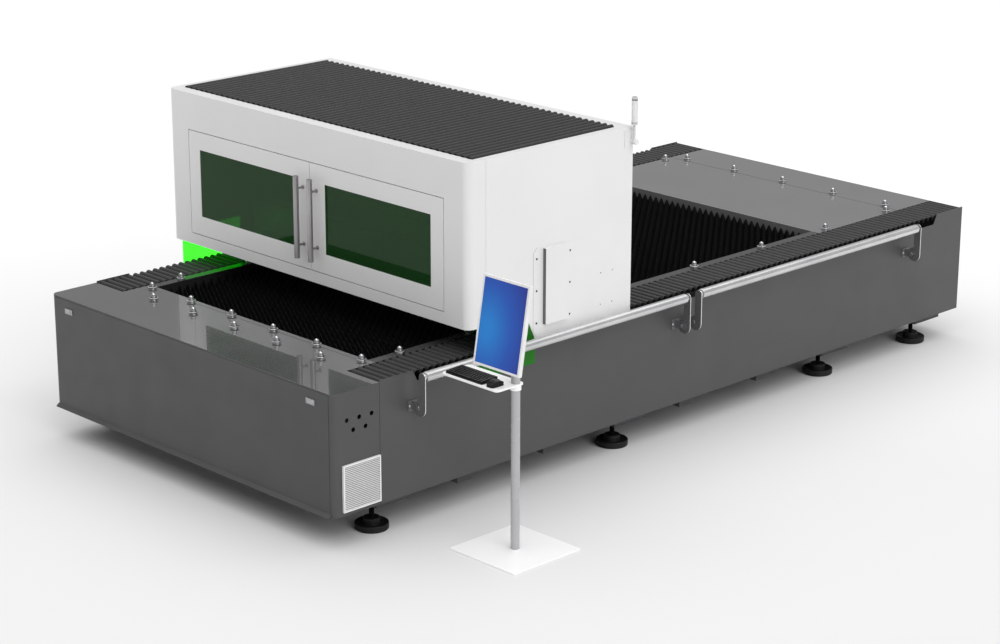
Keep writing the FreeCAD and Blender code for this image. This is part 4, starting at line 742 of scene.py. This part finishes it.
# ---- Pleated roof cover ----
# Coated dark cloth over ribs that run along the bed, set side by side inside the roof's rim. It
# is folded up and down over them in even pleats.
ROOF_PLEATS = 51
roof_low, roof_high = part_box("roof_pleats")
roof_cloth = pleated_cloth("roof_cloth", roof_low.z, roof_high.z, 3, 20)
roof_line = pleat_line(roof_low.x, (roof_high.x - roof_low.x) / ROOF_PLEATS, ROOF_PLEATS,
                       roof_low.z + BELLOWS_SKIN, roof_high.z)
made("roof_pleats_sewn", *strip(roof_line, BELLOWS_SKIN, roof_low.y, roof_high.y, False), roof_cloth,
     "roof_pleats")

# ---- Doors, windows and handles ----
# Two folded white doors on pins, with dark green laser-safe panes bonded behind their faces and
# brushed steel bar handles at the seam.
window_green = Finish("window_green", Transmission_Weight=0.7, IOR=1.25, Roughness=0.03)
window_green.colour(window_green.noise(1.5, 2.0), (0.3, tone(30, 92, 32)), (0.7, tone(36, 98, 38)))
brushed = mixed("brushed_steel", tone(140, 137, 138), tone(172, 169, 170),
                (40.0, 3.0, (1, 1, 0.05)), (260.0, 2.0, (1, 1, 0.03)), (0.24, 0.42), Metallic=1.0)
brushed.bump(brushed.noise(900.0, 1.0, (1, 1, 0.02)), 0.00005)
GRIP_ROUND = 0.0025
LEG_SPREAD = 0.182
for side in ("left", "right"):
    eased(side + "_door", cabin_white, 0.0012)
    eased(side + "_window", window_green.material, 0.0008)
    low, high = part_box(side + "_handle")
    radius, length = (high.x - low.x) / 2, high.z - low.z
    centre = Vector(((low.x + high.x) / 2, low.y + radius, low.z))
    bar = [(0.0, 0.0), (radius - GRIP_ROUND, 0.0), (radius - 0.0007, 0.0007), (radius, GRIP_ROUND)]
    grip = turned(bar + [(r, length - h) for r, h in reversed(bar)], [Matrix.Translation(centre)], 48)
    leg_reach = high.y - centre.y
    leg = [(0.0, 0.0), (0.0070, 0.0), (0.0070, leg_reach - 0.005), (0.0125, leg_reach - 0.004),
           (0.0130, leg_reach - 0.003), (0.0130, leg_reach), (0.0, leg_reach)]
    rooted = [Matrix.Translation(centre + Vector((0, 0, length / 2 + up))) @ LAY_DOWN
              for up in (-LEG_SPREAD, LEG_SPREAD)]
    legs = turned(leg, rooted, 32)
    leg_faces = [tuple(i + len(grip[0]) for i in face) for face in legs[1]]
    made(side + "_handle_bar", grip[0] + legs[0], grip[1] + leg_faces, brushed.material,
         side + "_handle")
eased("door_hinge_pins", zinc.material, 0.0008)

# ---- Service cover ----
# A thin white plate with a shallow folded box, held on the right wall by six dark button screws.
# The box's front return is painted darker grey, as painted shade.
service_cover = eased("service_cover", cabin_white, 0.0006)
return_painted_shade = powder_coat("return_painted_shade", tone(100, 100, 101), 0.3, 0.4, 0.03, 0.00005)
second_coat(service_cover, return_painted_shade, lambda centre, normal: normal.y < -0.5)
dark_steel = mixed("blackened_steel", tone(26, 26, 27), tone(42, 42, 43),
                   (200.0,), (300.0,), (0.35, 0.5), Metallic=0.8)
eased("cover_screws", dark_steel.material, 0.0007)

# ---- Side curtains ----
# Sheets of bright green laser-safe acrylic, hung inside each wall below the cabin's front. The
# left one has a painted glow, and the right one is a darker copy as painted shade.
# The emission here is a painted glow on the left sheet.
acrylic = Finish("acrylic_green", Transmission_Weight=0.95, IOR=1.15, Emission_Strength=0.32,
                 Emission_Color=tone(40, 255, 30))
acrylic.colour(acrylic.noise(3.0), (0.3, tone(80, 250, 62)), (0.7, tone(90, 255, 72)))
acrylic.rough(acrylic.noise(20.0), 0.10, 0.2)
curtains = eased("side_curtains", acrylic.material, 0.0008)
acrylic_shade = mixed("acrylic_green_shaded", tone(58, 142, 50), tone(66, 152, 58),
                      (3.0,), (20.0,), (0.10, 0.2), Transmission_Weight=0.5, IOR=1.15)
second_coat(curtains, acrylic_shade.material, lambda centre, normal: centre.x > 0)

# ---- Gantry beam, carriages, cross carriage and cutting head ----
# Machined aluminium, clear anodised. Carriages on the rails carry the beam, the cross carriage
# runs along it, and the head is a turned body with a brass nozzle at its tip.
anodised = mixed("anodised", tone(126, 127, 130), tone(142, 143, 146),
                 (5.0, 3.0), (80.0, 3.0, (0.1, 1, 1)), (0.36, 0.5), Metallic=0.9)
anodised.bump(anodised.noise(800.0, 1.0, (0.03, 1, 1)), 0.00005)
for node in ("gantry_beam", "gantry_carriages", "cross_carriage"):
    eased(node, anodised.material, 0.0015)
head = eased("cutting_head", anodised.material, 0.0010)
NOZZLE_LENGTH = 0.055
brass = mixed("nozzle_brass", tone(190, 150, 80), tone(212, 172, 98),
              (90.0,), (160.0,), (0.2, 0.32), Metallic=1.0)
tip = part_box("cutting_head")[0].z
second_coat(head, brass.material, lambda centre, normal: centre.z < tip + NOZZLE_LENGTH)

# ---- Signal lamp ----
# A clear moulded stack on a short pole, clamped to a wall bracket by a bolt with a round knob. A
# black rubber ring sits under the stack's cap, and another under its foot.
lamp_grey = mixed("lamp_grey", tone(196, 197, 198), tone(214, 215, 216),
                  (60.0,), (90.0,), (0.3, 0.42))
eased("beacon_bracket", cabin_white, 0.0010)
eased("beacon_pole", lamp_grey.material, 0.0008)
lens = mixed("lamp_lens", tone(236, 238, 238), tone(246, 248, 248),
             (30.0,), (50.0,), (0.12, 0.22), Transmission_Weight=0.6, IOR=1.45)
eased("beacon_lens", lens.material, 0.0008)
ring_black = mixed("lamp_seal_black", tone(40, 40, 42), tone(58, 58, 60),
                   (80.0,), (120.0,), (0.4, 0.55))
CAP_SEAL_DROP = 0.024
FOOT_SEAL_DROP = 0.0052
lens_low, lens_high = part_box("beacon_lens")
lens_radius = (lens_high.x - lens_low.x) / 2
lens_axis = Vector(((lens_low.x + lens_high.x) / 2, (lens_low.y + lens_high.y) / 2, 0))
ring = [(lens_radius - 0.0030, 0.0002), (lens_radius - 0.0006, 0.0002), (lens_radius - 0.0002, 0.0012),
        (lens_radius - 0.0002, 0.0038), (lens_radius - 0.0006, 0.0048), (lens_radius - 0.0030, 0.0048),
        (lens_radius - 0.0030, 0.0002)]
seals = [Matrix.Translation(lens_axis + Vector((0, 0, z)))
         for z in (lens_high.z - CAP_SEAL_DROP, lens_low.z - FOOT_SEAL_DROP)]
added("lamp_seals", *turned(ring, seals, 40), ring_black.material, "beacon", "lamp_pole")

# ---- Operator stand ----
# A square base plate, a folded tray with rounded corners and the screen's bracket, all gloss
# white sheet, on a round post of lacquered light grey tube.
stand_white = powder_coat("stand_white", tone(252, 252, 252), 0.3, 0.4, 0.006, 0.00003)
for node, radius in (("stand_base", 0.002), ("stand_tray", 0.001), ("screen_bracket", 0.001)):
    eased(node, stand_white, radius)
post_grey = powder_coat("post_grey", tone(174, 174, 176), 0.2, 0.3, 0.012, 0.00004,
                        Coat_Weight=0.3, Coat_Roughness=0.08)
eased("stand_post", post_grey, 0.001)

# ---- Keyboard ----
# Black moulded tray with separate key caps in six rows, lying on the stand's tray. The caps taper
# to the top, and the long bar is in the middle of the front row.
soft_black = mixed("moulded_black", tone(10, 10, 11), tone(17, 17, 18),
                   (60.0,), (200.0,), (0.2, 0.32), Specular_IOR_Level=0.2)
soft_black.bump(soft_black.noise(2200.0, 1.0), 0.00004)
KEY_ROWS = ([1.0] * 15, [1.0] * 13 + [2.0], [1.5] + [1.0] * 12 + [1.5], [1.75] + [1.0] * 11 + [2.25],
            [2.25] + [1.0] * 10 + [2.75], [1.25, 1.25, 1.25, 6.25, 1.25, 1.25, 1.25, 1.25])
ROW_UNITS = 15
KEY_TRAVEL = 0.0045
KEY_GAP = 0.0008
CAP_SINK = 0.001
CAP_CLEAR = 0.0003
CAP_TAPER = 0.0018
CAP_EDGE = 0.0006
BOARD_RIM = 0.006
BOARD_RISE = 0.006


def cap(bm, low, high, foot, crown, taper):
    """One key cap: a block with leaning sides, from its foot to its crown height."""
    rings = []
    for z, inset in ((foot, 0.0), (crown - CAP_EDGE, taper), (crown, taper + CAP_EDGE)):
        corners = ((low[0] + inset, low[1] + inset), (high[0] - inset, low[1] + inset),
                   (high[0] - inset, high[1] - inset), (low[0] + inset, high[1] - inset))
        rings.append([bm.verts.new((x, y, z)) for x, y in corners])
    for under, over in zip(rings, rings[1:]):
        for k in range(4):
            bm.faces.new((under[k], under[(k + 1) % 4], over[(k + 1) % 4], over[k]))
    bm.faces.new(rings[-1])
    bm.faces.new(rings[0][::-1])


board_low, board_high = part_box("keyboard")
keys = bmesh.new()
row_depth = (board_high.y - board_low.y - 2 * BOARD_RIM) / len(KEY_ROWS)
unit = (board_high.x - board_low.x - 2 * BOARD_RIM) / ROW_UNITS
front_height = board_high.z - BOARD_RISE
for r, widths in enumerate(KEY_ROWS):
    back = board_high.y - BOARD_RIM - r * row_depth
    rise = BOARD_RISE * (back - row_depth / 2 - board_low.y) / (board_high.y - board_low.y)
    x = board_low.x + BOARD_RIM
    for width in widths:
        cap(keys, (x + KEY_GAP, back - row_depth + KEY_GAP),
            (x + width * unit - KEY_GAP, back - KEY_GAP),
            front_height + rise - KEY_TRAVEL - CAP_SINK, front_height + rise - CAP_CLEAR, CAP_TAPER)
        x += width * unit
caps_mesh = bpy.data.meshes.new("key_caps")
keys.to_mesh(caps_mesh)
keys.free()
caps_mesh.materials.append(soft_black.material)
key_caps = settled("key_caps", caps_mesh)
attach(key_caps, "bed")

tray = bmesh.new()
tray.from_mesh(frame["nodes"]["keyboard"].data)
bmesh.ops.remove_doubles(tray, verts=tray.verts, dist=1e-5)
bmesh.ops.dissolve_limit(tray, angle_limit=math.radians(1.0), verts=tray.verts, edges=tray.edges)
for face in [f for f in tray.faces if f.normal.z > 0.9]:
    bmesh.ops.inset_region(tray, faces=[face], thickness=BOARD_RIM - 0.001, use_even_offset=True)
    for vert in face.verts:
        vert.co.z -= KEY_TRAVEL
rims = [e for e in tray.edges if len(e.link_faces) == 2 and e.calc_face_angle() > math.radians(30)]
bmesh.ops.bevel(tray, geom=rims, offset=0.0008, segments=2, profile=0.5, affect="EDGES",
                clamp_overlap=True)
tray_mesh = bpy.data.meshes.new("keyboard_tray")
tray.to_mesh(tray_mesh)
tray.free()
tray_mesh.materials.clear()
tray_mesh.materials.append(soft_black.material)
seat(settled("keyboard_tray", tray_mesh), "keyboard")

# ---- Mouse ----
# A black moulded shell with a palm-shaped back, lying on the stand's tray. A ribbed rubber wheel
# stands out of its top, at the end away from the palm.
eased("mouse", soft_black.material, 0.002)
mouse_low, mouse_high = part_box("mouse")
WHEEL_RADIUS = 0.0095
WHEEL_SETBACK = 0.025
WHEEL_SINK = 0.0003
WHEEL_GROOVE = 0.0006
WHEEL_STEPS = 56
middle = Vector(((mouse_low.x + mouse_high.x) / 2, mouse_high.y - WHEEL_SETBACK,
                 mouse_high.z - WHEEL_RADIUS - WHEEL_SINK))
wheel_verts, wheel_faces = [], []
for x, shrink in ((-0.0035, 0.0008), (-0.0028, 0.0), (0.0028, 0.0), (0.0035, 0.0008)):
    for k in range(WHEEL_STEPS):
        turn = 2 * math.pi * k / WHEEL_STEPS
        r = WHEEL_RADIUS - shrink - WHEEL_GROOVE * (k % 2)
        wheel_verts.append(middle + Vector((x, r * math.cos(turn), r * math.sin(turn))))
for a in (0, WHEEL_STEPS, 2 * WHEEL_STEPS):
    for k in range(WHEEL_STEPS):
        n = (k + 1) % WHEEL_STEPS
        wheel_faces.append((a + k, a + n, a + WHEEL_STEPS + n, a + WHEEL_STEPS + k))
wheel_faces += [tuple(range(WHEEL_STEPS)), tuple(range(3 * WHEEL_STEPS, 4 * WHEEL_STEPS))]
added("mouse_wheel", wheel_verts, wheel_faces, pad_rubber.material, "bed", slot_of["mouse"], sharp=40)

# ---- Monitor ----
# A white moulded casing in portrait, with a glossy screen face that shows a plain blue glow. The
# vent slots in its back are simplified to thin dark strips that lie on it.
casing_white = mixed("casing_white", tone(226, 226, 226), tone(236, 236, 236),
                     (12.0,), (40.0,), (0.25, 0.35))
casing = eased("monitor_housing", casing_white.material, 0.003)
back = max((p for p in casing.data.polygons if p.normal.y > 0.5), key=lambda p: p.area)
across = Vector((1, 0, 0))
upward = back.normal.cross(across).normalized()
if upward.z < 0:
    upward = -upward
vent_shade = mixed("vent_shade", tone(30, 30, 31), tone(44, 44, 45),
                   (60.0,), (90.0,), (0.5, 0.7))
VENT_HALF_LENGTH = 0.07
VENT_HALF_HEIGHT = 0.0014
VENT_PITCH = 0.007
VENT_ROWS = 12
VENT_START = 0.120
VENT_LIFT = 0.0001
VENT_THICKNESS = 0.0004
slots, slot_faces = [], []
for k in range(VENT_ROWS):
    centre = back.center + upward * (VENT_START + VENT_PITCH * k) + back.normal * VENT_LIFT
    for lift in (0.0, VENT_THICKNESS):
        for x, u in ((-1, -1), (1, -1), (1, 1), (-1, 1)):
            slots.append(centre + across * VENT_HALF_LENGTH * x + upward * VENT_HALF_HEIGHT * u
                         + back.normal * lift)
    a = 8 * k
    slot_faces += [(a, a + 1, a + 2, a + 3), (a + 4, a + 5, a + 6, a + 7), (a, a + 1, a + 5, a + 4),
                   (a + 1, a + 2, a + 6, a + 5), (a + 2, a + 3, a + 7, a + 6), (a + 3, a, a + 4, a + 7)]
added("monitor_vents", slots, slot_faces, vent_shade.material, "screen", slot_of["monitor_housing"])
GLOW_INSET = (0.06, 0.20)
GLOW_SPREAD = (0.36, 1.0, 0.46)
glow = Finish("screen_glow", Roughness=0.10, Specular_IOR_Level=0.25, Emission_Strength=0.26)
low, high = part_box("screen_glass")
spot = glow.add("ShaderNodeMapping")
spot.vector_type = "TEXTURE"
spot.inputs["Location"].default_value = (low.x + GLOW_INSET[0], (low.y + high.y) / 2,
                                         low.z + GLOW_INSET[1])
spot.inputs["Scale"].default_value = GLOW_SPREAD
halo = glow.add("ShaderNodeTexGradient", gradient_type="SPHERICAL")
glow.tree.links.new(glow.place, spot.inputs["Vector"])
glow.tree.links.new(spot.outputs["Vector"], halo.inputs["Vector"])
ramp = glow.colour(halo.outputs["Fac"], (0.0, tone(30, 44, 128)), (0.45, tone(28, 74, 160)),
                   (0.9, tone(24, 112, 186)))
glow.tree.links.new(ramp.outputs["Color"], glow.shader.inputs["Emission Color"])
eased("screen_glass", glow.material, 0.0006)
